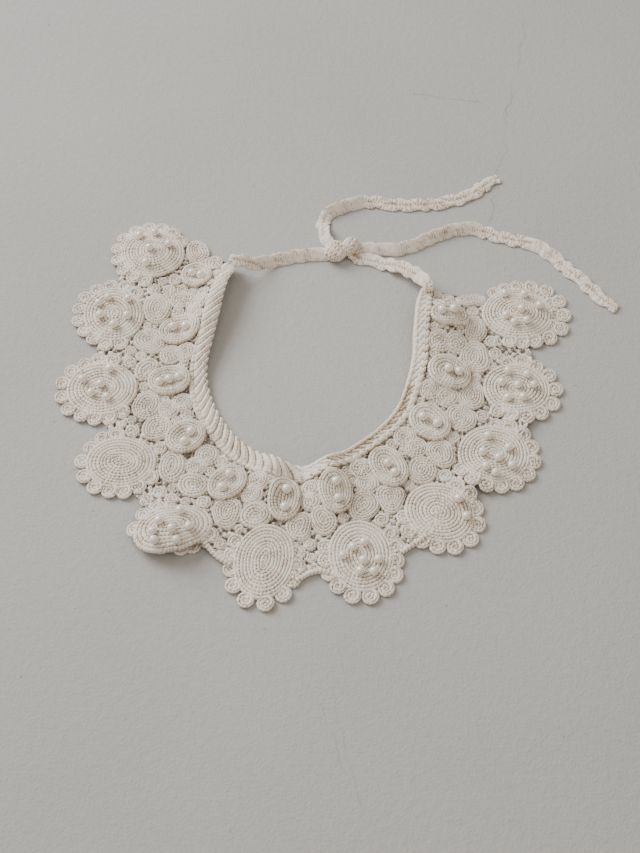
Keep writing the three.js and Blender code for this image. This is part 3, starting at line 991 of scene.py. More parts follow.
@dataclass(frozen=True)
class PlasterFinish:
    """Pale smooth plaster: faint clouds, fine grain, a few pits and hairline cracks, with painted light
    making it paler round the middle.
    """

    name: str = "pale plaster"
    base: Colour = (0.456, 0.454, 0.439, 1.0)
    cloud: Colour = (0.421, 0.419, 0.405, 1.0)
    speckle: float = 0.11  # how uneven the tone is, fine and coarse
    mottle: float = 0.13
    painted_light_pool: float = 0.115  # how much paler the painted light makes it round the middle
    painted_light_middle: Point = (0.0, -0.01, 0.0)
    painted_light_reach: float = 0.17
    pits: float = 80.0  # cells a metre, of which a few hold a pit
    pit_dark: float = 0.35
    crack_wide: float = 0.0009
    crack_dark: float = 0.22
    wander: float = 0.012  # how far the cracks stray
    cracks: tuple[Profile, ...] = (
        ((0.135, 0.290), (0.121, 0.227), (0.109, 0.161), (0.100, 0.121)),
        ((0.100, 0.216), (0.060, 0.224)),
        ((0.006, -0.157), (0.012, -0.182), (0.019, -0.207)),
        ((0.002, -0.164), (0.012, -0.196)),
    )

    def cracked(self, tree: Tree, place: Socket) -> Socket:
        """The nearness of the hairline cracks, which wander a little either side of their stretches.

        Args:
            tree: the material's node tree.
            place: the place on the floor.

        Returns:
            A value from 0 away from the cracks to 1 in them.
        """
        stray = add_node(tree, "TexNoise", {"Vector": place, "Scale": 60.0, "Detail": 4.0}).outputs["Color"]
        offset = add_node(tree, "VectorMath", {0: stray, 1: (self.wander, self.wander, 0.0), 2: place},
                          operation="MULTIPLY_ADD").outputs[0]
        offset = vectors(tree, "SUBTRACT", offset, (self.wander / 2, self.wander / 2, 0.0))
        nearest: object = 1.0
        for crack in self.cracks:
            for start, end in zip(crack, crack[1:]):
                distance = use_group(tree, "hairline", hairline_group, {
                    "Place": offset, "From": (*start, 0.0), "To": (*end, 0.0)})
                nearest = maths(tree, "MINIMUM", nearest, distance)
        level = levels(tree, nearest, self.crack_wide, 0.0, soft=True)
        faint = levels(tree, noise(tree, place, 35.0, 2.0), 0.35, 0.6)
        return maths(tree, "MULTIPLY", level, faint)

    def pitted(self, tree: Tree, place: Socket) -> Socket:
        """The pits: in a few of the floor's cells, a small dark spot.

        Args:
            tree: the material's node tree.
            place: the place on the floor.

        Returns:
            A value from 0 on sound plaster to 1 in a pit.
        """
        cells = add_node(tree, "TexVoronoi", {"Vector": place, "Scale": self.pits}, voronoi_dimensions="2D")
        drawn = add_node(tree, "SeparateColor", {0: cells.outputs["Color"]}).outputs
        held = maths(tree, "GREATER_THAN", drawn[0], 0.94)
        size = maths(tree, "MULTIPLY_ADD", drawn[1], 0.05, 0.02)
        spot = levels(tree, maths(tree, "DIVIDE", cells.outputs["Distance"], size), 1.0, 0.4, soft=True)
        return maths(tree, "MULTIPLY", spot, held)

    def build(self) -> Material:
        """Builds the material: clouds of two tones, made paler round the middle by painted light, and shaded
        by the grain, the cracks and the pits.

        Returns:
            The material.
        """
        material, tree, shader, place = new_material(self.name)
        clouds = levels(tree, noise(tree, place, 7.0, 6.0), 0.3, 0.7)
        colour = blend(tree, clouds, self.base, self.cloud)
        # painted light: a soft paler patch round the middle of the floor
        away = vectors(tree, "DISTANCE", place, self.painted_light_middle, 1)
        away = maths(tree, "DIVIDE", away, self.painted_light_reach)
        painted_light_pool = maths(tree, "EXPONENT", maths(tree, "MULTIPLY", maths(tree, "MULTIPLY", away, away), -1.0))
        grain = noise(tree, place, 700.0, 3.0)
        mottle = noise(tree, place, 260.0, 4.0)
        shade = maths(tree, "ADD", 1.0, maths(tree, "MULTIPLY", painted_light_pool, self.painted_light_pool))
        for value, weight in ((grain, self.speckle), (mottle, self.mottle)):
            shade = swayed(tree, shade, value, weight)
        for value, weight in ((self.cracked(tree, place), self.crack_dark),
                              (self.pitted(tree, place), self.pit_dark)):
            shade = maths(tree, "SUBTRACT", shade, maths(tree, "MULTIPLY", value, weight))
        rough = add_node(tree, "Bump", {
            "Height": maths(tree, "ADD", grain, mottle), "Strength": 0.7, "Distance": 0.00045})
        set_sockets(tree, shader, {
            "Base Color": toned(tree, colour, shade), "Normal": rough.outputs["Normal"], "Roughness": 0.8,
            "Specular IOR Level": 0.3})
        return material


# --- where the ovals lie ---


class Kind(Enum):
    """The kinds of oval, by the name that their nodes start with."""

    PETAL = "petal"
    BUD = "bud"
    TWIN = "twin"
    LEAF = "leaf"


@dataclass
class Layout:
    """All the ovals' outlines, drawn out to meet their neighbours as worked pieces are when sewn together."""

    outer_edge: Floats  # the band's
    share: float = 0.45  # of a gap that each of two neighbours takes
    widest: float = 4.6  # the widest gap that they close
    step: float = 0.2
    ends: tuple[float, float] = (129.0, 391.0)
    # ovals that lie on a steep slope, and how much of their size front to back is seen in plan
    sloping: dict[str, float] = field(default_factory=lambda: {"bud_11": 0.72, "leaf_22": 0.6})

    def read(self) -> dict[Kind, list[Outline]]:
        """Reads every oval's outline and closes the gaps between them.

        Returns:
            The outlines of each kind, in the order of their names.
        """
        names = sorted(name for name in frame["nodes"] if name.split("_")[0] in {k.value for k in Kind})
        found = [Outline.of_node(name) for name in names]
        grown = [self.grown(outline, found) for outline in found]
        return {kind: [o for o in grown if o.name.startswith(kind.value)] for kind in Kind}

    def grown(self, outline: Outline, others: Sequence[Outline]) -> Outline:
        """Draws one outline out along each ray by a share of the way to the first thing that the ray meets.

        A bud lies on top of its neighbours, so it only has its outline evened.

        Args:
            outline: the outline.
            others: every outline, this one among them.

        Returns:
            The outline drawn out.
        """
        angle = np.arange(outline.spots) * TURN / outline.spots
        slope = self.sloping.get(outline.name, 1.0)
        foreshortened = 1 / np.hypot(np.cos(angle), np.sin(angle) / slope)
        if outline.name.startswith(Kind.BUD.value):
            rim = low_waves(outline.far, 2) * foreshortened
            return Outline(outline.name, outline.hub, rim, rim)
        steps = np.arange(0, self.widest, self.step)
        way = np.stack([np.cos(angle), np.sin(angle)], axis=1)
        places = outline.hub + (outline.far[:, None] + steps)[..., None] * way[:, None]
        reach = np.hypot(places[..., 0], places[..., 1])
        bearing = bearing_of(places)
        band = reach_at(bearing, self.outer_edge)
        beside = (bearing > self.ends[0]) & (bearing < self.ends[1])
        room = np.where(beside, reach - band, 9.0)
        for other in others:
            away = places - other.hub
            distance = np.hypot(away[..., 0], away[..., 1])
            if other is not outline:
                edge = other.edge(np.arctan2(away[..., 1], away[..., 0]))
                room = np.minimum(room, distance - edge)
        met = room <= 0
        first = np.where(met.any(axis=1), steps[np.argmax(met, axis=1)], 0.0)
        more = first * self.share
        if outline.name.startswith(Kind.PETAL.value):
            plain = outline.far - outline.body < 1.0
            body = low_waves(outline.body + np.where(plain, more, 0), 4)
            far = np.maximum(body, outline.far + low_waves(more, 6))
            return Outline(outline.name, outline.hub, far, body)
        far = low_waves(outline.far + more, 3) * foreshortened
        return Outline(outline.name, outline.hub, far, far)


# --- sub-assemblies ---


@dataclass
class Studio:
    """The floor, the soft light and the camera."""

    aim: Point = (0.0011, -0.0158, 0.0)
    distance: float = 0.620
    elevation: float = 60.0
    lens: float = 50.0
    sensor: float = 36.0
    floor_size: float = 6.0
    key_place: Point = (-1.15, 0.95, 1.05)
    key_size: float = 1.15
    key_power: float = 39.6
    key_tint: Point = (0.935, 0.975, 1.0)
    spark_size: float = 0.14
    spark_power: float = 2.2
    fill_place: Point = (0.0, -0.12, 0.95)
    fill_size: float = 0.6
    fill_power: float = 0.9
    fill_tint: Point = (1.0, 0.88, 0.76)
    sky: Colour = (1.0, 0.905, 0.795, 1.0)
    sky_strength: float = 0.6

    def set_camera(self) -> Piece:
        """Puts the camera at its distance and elevation in front of the aim, and looks at the aim.

        Returns:
            The camera.
        """
        data = bpy.data.cameras.new("camera")
        data.lens = self.lens
        data.sensor_width = self.sensor
        data.sensor_fit = "AUTO"
        camera = bpy.data.objects.new("camera", data)
        tilt = math.radians(self.elevation)
        camera.location = (self.aim[0], self.aim[1] - self.distance * math.cos(tilt),
                           self.distance * math.sin(tilt))
        camera.rotation_euler = (math.pi / 2 - tilt, 0, 0)
        bpy.context.scene.collection.objects.link(camera)
        bpy.context.scene.camera = camera
        return camera

    def lay_floor(self) -> Piece:
        """Lays the plaster floor.

        Returns:
            The floor.
        """
        half = self.floor_size / 2
        mesh = bpy.data.meshes.new("floor")
        mesh.from_pydata([(-half, -half, 0), (half, -half, 0), (half, half, 0), (-half, half, 0)], [],
                         [(0, 1, 2, 3)])
        mesh.materials.append(PlasterFinish().build())
        floor = bpy.data.objects.new("floor", mesh)
        bpy.context.scene.collection.objects.link(floor)
        return floor

    def hang(self, name: str, place: Point, size: float, power: float, tint: Point) -> None:
        """Hangs one square light that faces the collar.

        Args:
            name: its name.
            place: where it hangs.
            size: its side.
            power: its power in watts.
            tint: its colour.
        """
        data = bpy.data.lights.new(name, "AREA")
        data.size = size
        data.energy = power
        data.color = tint
        lamp = bpy.data.objects.new(name, data)
        lamp.location = place
        x, y, z = place
        lamp.rotation_euler = (math.atan2(math.hypot(x, y), z), 0, math.atan2(-x, y) + math.pi)
        bpy.context.scene.collection.objects.link(lamp)

    def hang_lights(self) -> None:
        """Hangs the lights and sets the sky.

        A large soft light hangs behind to the left with a small bright one in front of its middle, and a weak
        warm one overhead. The sky is pale and even.
        """
        self.hang("key", self.key_place, self.key_size, self.key_power, self.key_tint)
        x, y, z = self.key_place
        before = (0.98 * x, 0.98 * y, 0.98 * z)
        self.hang("spark", before, self.spark_size, self.spark_power, self.key_tint)
        self.hang("fill", self.fill_place, self.fill_size, self.fill_power, self.fill_tint)
        world = bpy.data.worlds.new("studio")
        world.use_nodes = True
        background = world.node_tree.nodes["Background"]
        background.inputs["Color"].default_value = self.sky
        background.inputs["Strength"].default_value = self.sky_strength
        bpy.context.scene.world = world


@dataclass
class Tie:
    """One crocheted tape: its route, its lobes and how it is tipped on its edge."""

    name: str
    route: tuple[Point, ...]
    leans: Profile  # share of the length, and degrees that the left edge stands up
    far_end: str
    half_wide: float = 3.8
    half_thick: float = 0.95
    lobe: float = 1.5  # how far a lobe stands out
    lobe_pitch: float = 10.2
    fan: int = 5  # strands in the fan of stitches of one lobe
    stitch: float = 2.3
    low: float = 3.4  # stretches whose middle line is lower than this rest on the floor
    step: float = 0.42
    around: int = 28
    seed: int = 1

    def worked(self, rng: Generator, run: Floats, cosine: Floats,
               lace: Floats) -> tuple[Floats, Floats, Floats]:
        """The stitches round the tape's section.

        Open as lace it has staggered lobes at either edge, each a fan of strands that spread from the middle
        line, with rows of bobbles. Pulled tight it is smooth with soft knots along it, and a lower relief
        paints more shade on it.

        Args:
            rng: the seeded source of its unevenness.
            run: the distance along, (n, 1).
            cosine: the place across from -1 to 1, (1, m).
            lace: how open it lies, from 0 to 1, (n, 1).

        Returns:
            The half width, the half thickness and the relief, (n, m).
        """
        lobe_at = run / self.lobe_pitch + wave_of(rng, run / 40, (1.0, 2.3)) * 0.2
        staggered = lobe_at + np.where(cosine > 0, 0.0, 0.5)
        lobes = (0.5 + 0.5 * np.cos(TURN * staggered)) ** 0.6
        wide = self.half_wide + self.lobe * (0.6 + 0.4 * lace) * (lobes - 0.5) * np.abs(cosine)
        from_lobe = ((staggered + 0.5) % 1 - 0.5) * self.lobe_pitch
        strand = np.cos(2 * self.fan * np.arctan2(wide * np.abs(cosine) + 1.3, from_lobe))
        bobbles = np.cos(TURN * run / 2.1) * np.cos(TURN * 1.5 * cosine + 0.8 * np.sin(run))
        spine = bump(cosine, 0.16)
        soft = wave_of(rng, run / 30 + 0.3 * cosine, (2.1, 3.7))
        knots = np.cos(TURN * (run / 3.4 + 0.5 * cosine)) * (1 - lace)
        laced = 0.15 * strand + 0.16 * bobbles - 0.3 * spine
        thick = self.half_thick * (1 + 0.06 * soft + 0.14 * knots + lace * laced)
        # painted shade: the relief drops along the middle line, between bobbles and between knots, and is
        # lower where the tape is pulled smooth and stands on its edge, so these take the darker groove colour
        open_work = 0.62 + 0.2 * strand + 0.24 * bobbles - 0.3 * spine
        pulled = 0.66 + 0.1 * soft + 0.14 * knots
        return wide, thick, np.clip(lace * open_work + (1 - lace) * pulled, 0, 1)

    def patch(self) -> tuple[Patch, Floats]:
        """Carries a flat rounded section along the route, tipped by the leans, with low stretches let down.

        Where the tape lies flat it is open lace, and where it stands on its edge its face is pulled smooth.

        Returns:
            The tape's patch, and the points of its middle line.
        """
        line = smooth_line(np.array(self.route), self.step)
        run = lengths_along(line)[:, None]
        left = run[-1] - run
        shares, leans = zip(*self.leans)
        degrees = np.interp(run / run[-1], shares, leans)
        lean = np.radians(degrees)
        lace = np.interp(np.abs(degrees), (22, 36), (1, 0.3))
        tangent, level, upright = axes_along(line)
        side = level * np.cos(lean) + upright * np.sin(lean)
        face = np.cross(tangent, side)
        turn = (np.arange(self.around) * TURN / self.around)[None, :]
        cosine, sine = np.cos(turn), np.sin(turn)
        wide, thick, relief = self.worked(np.random.default_rng(self.seed), run, cosine, lace)
        narrow = 1 - 0.35 * bump(run, 5.0)
        if self.far_end == "bare":
            narrow = narrow - (0.36 * bump(left, 8.0) - 0.2 * bump(left - 1.6, 1.4))
        shrink = rounded_ends(run, 1.6)
        across = wide * (np.sign(cosine) * np.abs(cosine) ** 0.85) * shrink * narrow
        proud = thick * (np.sign(sine) * np.abs(sine) ** 0.8) * shrink
        points = line[:, None] + across[..., None] * side[:, None] + proud[..., None] * face[:, None]
        lowest = points[..., 2].min(axis=1)
        resting = np.clip((self.low - line[:, 2]) / 0.6, 0, 1)
        drop = resting * lowest + (1 - resting) * np.minimum(0, lowest)
        points[..., 2] -= drop[:, None]
        line[:, 2] -= drop
        stitches = np.stack(np.broadcast_arrays(run / self.stitch * 1.5, turn / TURN * 8), axis=2)
        return grid_patch(points, relief, stitches, ring=True).welded(), line

    def build(self, material: Material) -> tuple[Piece, Floats]:
        """Makes the tape and hides the node that it stands for.

        Args:
            material: its finish.

        Returns:
            The tape, and the points of its middle line in metres.
        """
        patch, line = self.patch()
        piece = make_piece(self.name + "_tape", patch, material)
        dress(self.name)
        return piece, (line + MIDDLE) * MM

    def declare(self, piece: Piece, line: Floats, with_pieces: Sequence[object]) -> None:
        """Args:
            piece: the tape; not used.
            line: its middle line, in metres; not used.
            with_pieces: the pieces on it; not used.
        """


@dataclass
class Ties:
    """The two ties, their knot and the two tails."""

    tapes: tuple[Tie, ...] = (
        Tie("tie_left",
            ((-47, 51.5, 12.6), (-43, 50.8, 12.6), (-38, 51, 10.5), (-33, 52.5, 7), (-26.5, 55.5, 4),
             (-19.5, 58.5, 2.8), (-12, 60.5, 2.6), (-5, 61.5, 2.6), (1, 62, 2.6), (9.5, 63, 3.0)),
            ((0, 10), (0.12, 20), (0.3, 40), (1, 38)), "knot", seed=11),
        Tie("tie_right",
            ((63, 31, 8.5), (62.8, 35, 10.5), (61.4, 39, 10.5), (57.8, 43.5, 8.3), (53, 48.5, 6),
             (47.5, 52.5, 4.2), (42, 55.5, 3), (33, 58.5, 2.6), (26.5, 60.5, 2.6), (20.5, 63.5, 3.4)),
            ((0, -12), (0.15, -30), (0.3, -28), (0.5, -14), (1, -10)), "knot", seed=12),
        Tie("tail_back",
            ((11.5, 66, 3.2), (9.3, 70, 2.6), (7.2, 74, 2.6), (5.8, 79, 2.6), (5.6, 84.5, 2.6),
             (6.5, 89.5, 2.6), (9.5, 92.5, 2.6), (13, 94.5, 2.6), (17, 96.5, 2.6), (21.5, 98.5, 2.6),
             (26.5, 100.5, 2.6), (31.5, 101.5, 2.6), (36.5, 101.5, 2.6), (42, 100.5, 2.6), (52.5, 99.5, 2.6),
             (60.5, 99.5, 2.6), (67.5, 100, 2.6), (74.5, 101, 2.6), (81.5, 103, 2.6), (89, 105.5, 2.6),
             (95, 109.5, 2.6), (100.5, 114, 2.6), (105.5, 118, 2.6), (110.5, 121, 2.6)),
            ((0, -35), (0.1, -42), (0.22, 48), (0.33, 46), (0.4, 14), (1, 6)), "bare", seed=13),
        Tie("tail_front",
            ((22.5, 66.5, 3.6), (27.4, 67, 2.8), (34.5, 65.9, 2.6), (42, 65.5, 2.6), (49, 66, 2.6),
             (55.5, 68, 2.6), (64.5, 72.5, 2.6), (73.5, 77, 2.6), (82.5, 80, 2.6), (91, 80.5, 2.6),
             (99.5, 79, 2.6), (106.5, 76, 2.6), (114.5, 73.5, 2.6), (122.5, 71.5, 2.6), (130, 66.5, 2.6),
             (138, 59, 2.6), (145.5, 50.5, 2.6), (152.5, 42.5, 2.6), (159.5, 33.5, 2.6), (165.5, 27.5, 2.6),
             (169, 25.5, 2.6)),
            ((0, 34), (0.42, 46), (0.47, 10), (0.6, 10), (0.64, 38), (0.7, 34), (0.76, 12), (1, 8)),
            "bare", seed=14),
    )

    def build(self, material: Material) -> None:
        """Makes the tapes and the knot; the knot lies on the left tie.

        Args:
            material: their finish.
        """
        made = [(tape, *tape.build(material)) for tape in self.tapes]
        knot = Knot().build(material)
        for tape, piece, line in made:
            tape.declare(piece, line, [knot] if tape.name == "tie_left" else [])


@dataclass(frozen=True)
class Lump:
    """One lump of the knot: an ellipsoid with strands that wind round it in a slow screw."""

    middle: Point
    long: float  # half sizes
    wide: float
    high: float
    heading: float  # of its long way, in degrees
    strand: float = 2.5  # from one strand to the next
    groove: float = 0.15
    stitches: int = 11  # stitches in a strand's turn
    proud: float = 0.05

    def patch(self, rng: Generator) -> Patch:
        """Works the lump; what would be under the floor is pressed flat.

        Args:
            rng: the seeded source of its unevenness.

        Returns:
            The lump's patch.
        """
        fall = np.linspace(0, math.pi, 110)[::-1, None]
        turn = (np.arange(96) * TURN / 96)[None, :]
        winding = -np.cos(fall) * self.long / self.strand + turn / TURN
        strand = arch(winding % 1)
        stitches = np.cos(TURN * (self.stitches * turn / TURN + 0.6 * np.abs(2 * (winding % 1) - 1)))
        uneven = wave_of(rng, 2 * winding + 0.3 * np.cos(turn), (0.9, 2.1))
        grow = 1 - np.sin(fall) * (self.groove * (1 - strand) - self.proud * stitches - 0.03 * uneven)
        along = self.long * np.cos(fall) * grow
        aside = self.wide * np.sin(fall) * np.cos(turn) * grow
        up = self.high * np.sin(fall) * np.sin(turn) * grow
        heading = math.radians(self.heading)
        x, y, z = self.middle
        points = np.stack([
            x + along * math.cos(heading) - aside * math.sin(heading),
            y + along * math.sin(heading) + aside * math.cos(heading), np.maximum(z + up, 0)], axis=2)
        uv = np.stack(np.broadcast_arrays(winding * 2, fall * 4), axis=2)
        # painted shade: lower relief between strands and between stitches gives them the darker groove colour
        relief = np.clip(0.3 * strand + 0.42 + 0.26 * stitches, 0, 1)
        return grid_patch(points, relief, uv, ring=True).welded()


@dataclass
class Knot:
    """The knot of the ties: two lumps, each wrapped with slanting strands."""

    lumps: tuple[Lump, ...] = (
        Lump((12.6, 63.4, 4.3), long=6.6, wide=6.8, high=4.6, heading=-38.0),
        Lump((20.8, 66.3, 4.8), long=4.6, wide=6.4, high=4.8, heading=-34.0),
    )

    def build(self, material: Material) -> Piece:
        """Makes the knot.

        Args:
            material: its finish.

        Returns:
            The knot.
        """
        rng = np.random.default_rng(41)
        piece = make_piece("knot_wraps", Patch.join([lump.patch(rng) for lump in self.lumps]), material)
        dress("knot")
        return piece


@dataclass
class Neckband:
    """The ribbed band round the neck opening."""

    # bearing, distance of the inner edge from the middle, and width
    edge: tuple[Point, ...] = (
        (128.5, 69, 9), (134, 62.5, 8.5), (140, 60.5, 8), (150, 56.5, 8), (160, 54, 8), (170, 53.5, 8),
        (180, 54.5, 8), (190, 57.5, 8), (200, 60.5, 8.5), (210, 63, 9.5), (220, 65.5, 9.5), (230, 68, 9.5),
        (240, 70.5, 9.5), (250, 72.5, 9.5), (258, 74, 9), (265, 74.5, 8.5), (272, 72, 8), (280, 68.5, 7.5),
        (290, 64.5, 7.5), (300, 62, 7.5), (310, 60, 8), (320, 58, 8), (330, 55.5, 8), (340, 54, 8),
        (350, 53.5, 8), (360, 53.5, 8), (370, 55, 8), (380, 59, 8), (387, 65, 7), (392, 71.5, 6),
    )
    thick: float = 3.7
    rib: float = 4.6
    slant: float = 8.5  # how far along the band a rib runs from its inner end to its outer end
    strands: int = 3
    fuller: float = 0.8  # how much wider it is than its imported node
    step: float = 0.3
    across: int = 38  # mesh columns over the top
    under: int = 6  # and underneath
    parting: float = 266.0  # the bearing of the crease
    border: float = 0.27  # the share of the width left to a row of stitches outside the ribs, at the front
    ribs_share: float = 1.12  # the width of the band pressed flat, to its width as it lies

    def line(self) -> tuple[Floats, Floats, Floats]:
        """The band's inner edge, the way across it and its width.

        Returns:
            Evenly spread points of the inner edge, unit vectors across, and widths.
        """
        bearing, reach, wide = np.array(self.edge).T
        angle = np.radians(bearing)
        rows = np.stack([reach * np.cos(angle), reach * np.sin(angle), 0 * reach, wide], axis=1)
        fine = smooth_line(rows, self.step)
        run = np.gradient(fine[:, :2], axis=0)
        run /= np.linalg.norm(run, axis=1, keepdims=True)
        turned = bearing_of(fine[:, :2])
        fuller = self.fuller * np.interp(
            turned, (129, 142, 245, 262, 285, 330, 348, 384, 391), (0.2, 1, 1, 0.2, 0.4, 0.5, 1.3, 1.3, 0.6))
        return fine[:, :2], np.stack([run[:, 1], -run[:, 0]], axis=1), fine[:, 3] + fuller

    def outer_edge(self) -> Floats:
        """Points of the band's outer edge."""
        inner, way, wide = self.line()
        return inner + way * wide[:, None]

    def roped(self, run: Floats, drawn: Floats, turned: Floats, x: Floats,
              wide: Floats) -> tuple[Floats, Floats, Floats]:
        """The left and front: rope ribs that slant up to the inner edge, with a row of links outside them.

        The ribs are a row of half circles along the band, shifted back with the distance from the edge.

        Args:
            run: the distance along, (n, 1).
            drawn: the same, a little uneven.
            turned: the bearing, (n, 1).
            x: the share of the width, (1, m).
            wide: the width, (n, 1).

        Returns:
            The height, the relief, and the ribs passed on the way along.
        """
        border = self.border * np.interp(turned, (165, 195, 250, 262), (0, 1, 1, 0.4))
        inside = np.clip(x / (1 - border), 0, 1)
        slant = self.slant * np.interp(turned, (195, 235), (1, 0.7))
        phase = (drawn - slant * (1 - (1 - np.clip(inside / 0.9, 0, 1)) ** 1.6)) / self.rib
        off_middle = phase % 1 - 0.5
        lobe = arch(phase % 1) ** 0.9
        strands = np.cos(TURN * self.strands * off_middle)
        fine = np.cos(TURN * (x * wide / 1.3 + 1.4 * np.abs(off_middle)))
        dome = arch(np.clip(0.03 + 0.93 * inside, 0, 1)) ** 0.5 * np.clip((1.02 - border - x) / 0.05, 0, 1)
        ropes = dome * (self.thick - 2.5 + 2.5 * lobe + 0.5 * off_middle + 0.2 * strands + 0.16 * fine)
        beside = np.clip((x - 1 + border) / np.maximum(border, 0.02), 0, 1)
        links = arch((run / 2.3 + 0.4 * np.abs(beside - 0.5)) % 1)
        height = np.maximum(ropes, (border > 0.05) * arch(beside) ** 0.5 * (1.5 + 0.9 * links))
        # painted shade: the relief is low in the grooves between ribs and strands, which take the darker
        # groove colour
        return height, np.clip(0.3 + 0.45 * lobe + 0.15 * strands + 0.14 * fine, 0, 1), phase

    def rolled(self, drawn: Floats, turned: Floats, x: Floats,
               wide: Floats) -> tuple[Floats, Floats, Floats]:
        """The right: a rolled edge, a valley with short ribs, and a chain of links along the outside.

        Args:
            drawn: the distance along, a little uneven, (n, 1).
            turned: the bearing, (n, 1).
            x: the share of the width, (1, m).
            wide: the width, (n, 1).

        Returns:
            The height, the relief, and the links passed on the way along.
        """
        sunk = np.interp(turned, (268, 282, 330, 350), (0.2, 1, 1, 0.3))
        twist = arch((drawn - 3.4 * np.clip(x / 0.45, 0, 1)) / 3.7 % 1)
        roll = arch(np.clip(x / (0.5 - 0.2 * sunk), 0, 1)) ** 0.8
        roll = roll * (self.thick - 0.75 * (1 - twist) - 0.3 * sunk)
        valley = np.clip((x - 0.17) / 0.16, 0, 1) * np.clip((0.78 - x) / 0.06, 0, 1)
        short = (drawn - 5.0 * (x - 0.2) / 0.4) / 4.4
        ribs = (2.15 - 0.85 * sunk + (1.25 - 0.2 * sunk) * arch(short % 1) ** 0.9
                + 0.13 * np.cos(TURN * (short * 3 + x * wide / 1.4)))
        plait = np.clip((x - 0.62) / 0.38, 0, 1)
        phase = (drawn - 3.0 * np.abs(plait - 0.5)) / 4.2
        link = arch(plait) ** 0.6 * (1.3 + 0.5 * sunk + 2.0 * arch(phase % 1) - 0.5 * bump(plait - 0.5, 0.10))
        height = np.maximum(np.maximum(roll * (x < 0.3), valley * ribs), link)
        height = np.maximum(height, roll * np.clip((0.42 - x) / 0.12, 0, 1))
        # painted shade: the relief rises with the height, so the band's low parts take the darker groove
        # colour
        return height, np.clip((height - 1.5 - 0.25 * sunk) / 1.4, 0, 1), phase

    def patch(self, cloth: Cloth) -> Patch:
        """Works the band as a closed section carried round the opening.

        It is roped left of the crease and rolled right of it, on a flat underside.

        Args:
            cloth: the surface that it lies on.

        Returns:
            The band's patch.
        """
        inner, way, wide = self.line()
        run, turned, wide = (column[:, None] for column in (lengths_along(inner), bearing_of(inner), wide))
        x = 0.5 - 0.5 * np.cos(np.linspace(0, math.pi, self.across))[None, :]
        right = 1 / (1 + np.exp(-(turned - self.parting) / 0.8))
        drawn = run + 0.35 * wave_of(np.random.default_rng(5), run / 60, (1.0, 2.7, 4.3))
        rope, rope_relief, ribs = self.roped(run, drawn, turned, x, wide)
        flat, flat_relief, links = self.rolled(drawn, turned, x, wide)
        top = np.maximum(rope * (1 - right) + flat * right, 0.25)
        top_relief = rope_relief * (1 - right) + flat_relief * right

        depth = np.interp(turned, (150, 190, 258), (0.8, 1.6, 1.5))
        scallop = (depth * (arch(ribs[:, :1] % 1) ** 0.7 - 0.5) * (1 - right)
                   + 0.12 * np.cos(TURN * run / 1.5) * right)
        outer_scallop = 0.45 * (arch(links[:, -1:] % 1) - 0.5) * right
        place = -scallop * (1 - x) ** 3 + x * wide + outer_scallop * x ** 3
        below = np.linspace(1, 0, self.under + 2)[None, 1:-1]
        place = np.hstack([place, 0.6 + (wide - 1.2) * below])
        plan = inner[:, None] + way[:, None] * place[..., None]
        bottom = np.zeros((len(inner), self.under))
        height = cloth.lift(plan) + np.hstack([top, bottom])
        # painted shade: the underside gets a low relief, for the darker groove colour
        relief = np.hstack([top_relief, bottom + 0.3])
        u = np.hstack([ribs * 2, bottom + run / 1.5])
        v = np.hstack([x * wide / 1.4, bottom + below * 4])
        return closed_bar(np.dstack([plan, height]), relief, np.dstack([u, v]))

    def build(self, cloth: Cloth, material: Material) -> Piece:
        """Args:
            cloth: the surface that it lies on.
            material: its finish.

        Returns:
            The band.
        """
        piece = make_piece("neckband_ribs", self.patch(cloth), material)
        dress("neckband")
        inner, way, wide = self.line()
        return piece


@dataclass
class Pearls:
    """Glossy beads sewn on an oval."""

    radius: float = 2.25
    sunk: float = 0.7
    rings: int = 10
    sides: int = 16

    def build(self, name: str, places: Floats, tops: Floats, material: Material, seed: int) -> Piece:
        """Makes one oval's beads as spheres, each sunk a little in the cotton.

        Args:
            name: the piece's name.
            places: the beads' places in plan, (n, 2).
            tops: the height of the cotton under each.
            material: their finish.
            seed: for their small differences in size.

        Returns:
            The beads.
        """
        rng = np.random.default_rng(seed)
        fall = np.linspace(math.pi, 0, self.rings + 1)[:, None]
        turn = (np.arange(self.sides) * TURN / self.sides)[None, :]
        ball = np.stack(np.broadcast_arrays(np.sin(fall) * np.cos(turn), np.sin(fall) * np.sin(turn),
                                            np.cos(fall)), axis=2)
        uv = np.zeros((*ball.shape[:2], 2))
        patches = []
        for place, top in zip(places, tops):
            radius = self.radius * rng.uniform(0.95, 1.04)
            middle = np.array([place[0], place[1], top + radius - self.sunk])
            points = middle + radius * ball
            patches.append(grid_patch(points, np.ones(ball.shape[:2]), uv, ring=True).welded())
        piece = make_piece(name, Patch.join(patches), material)
        return piece


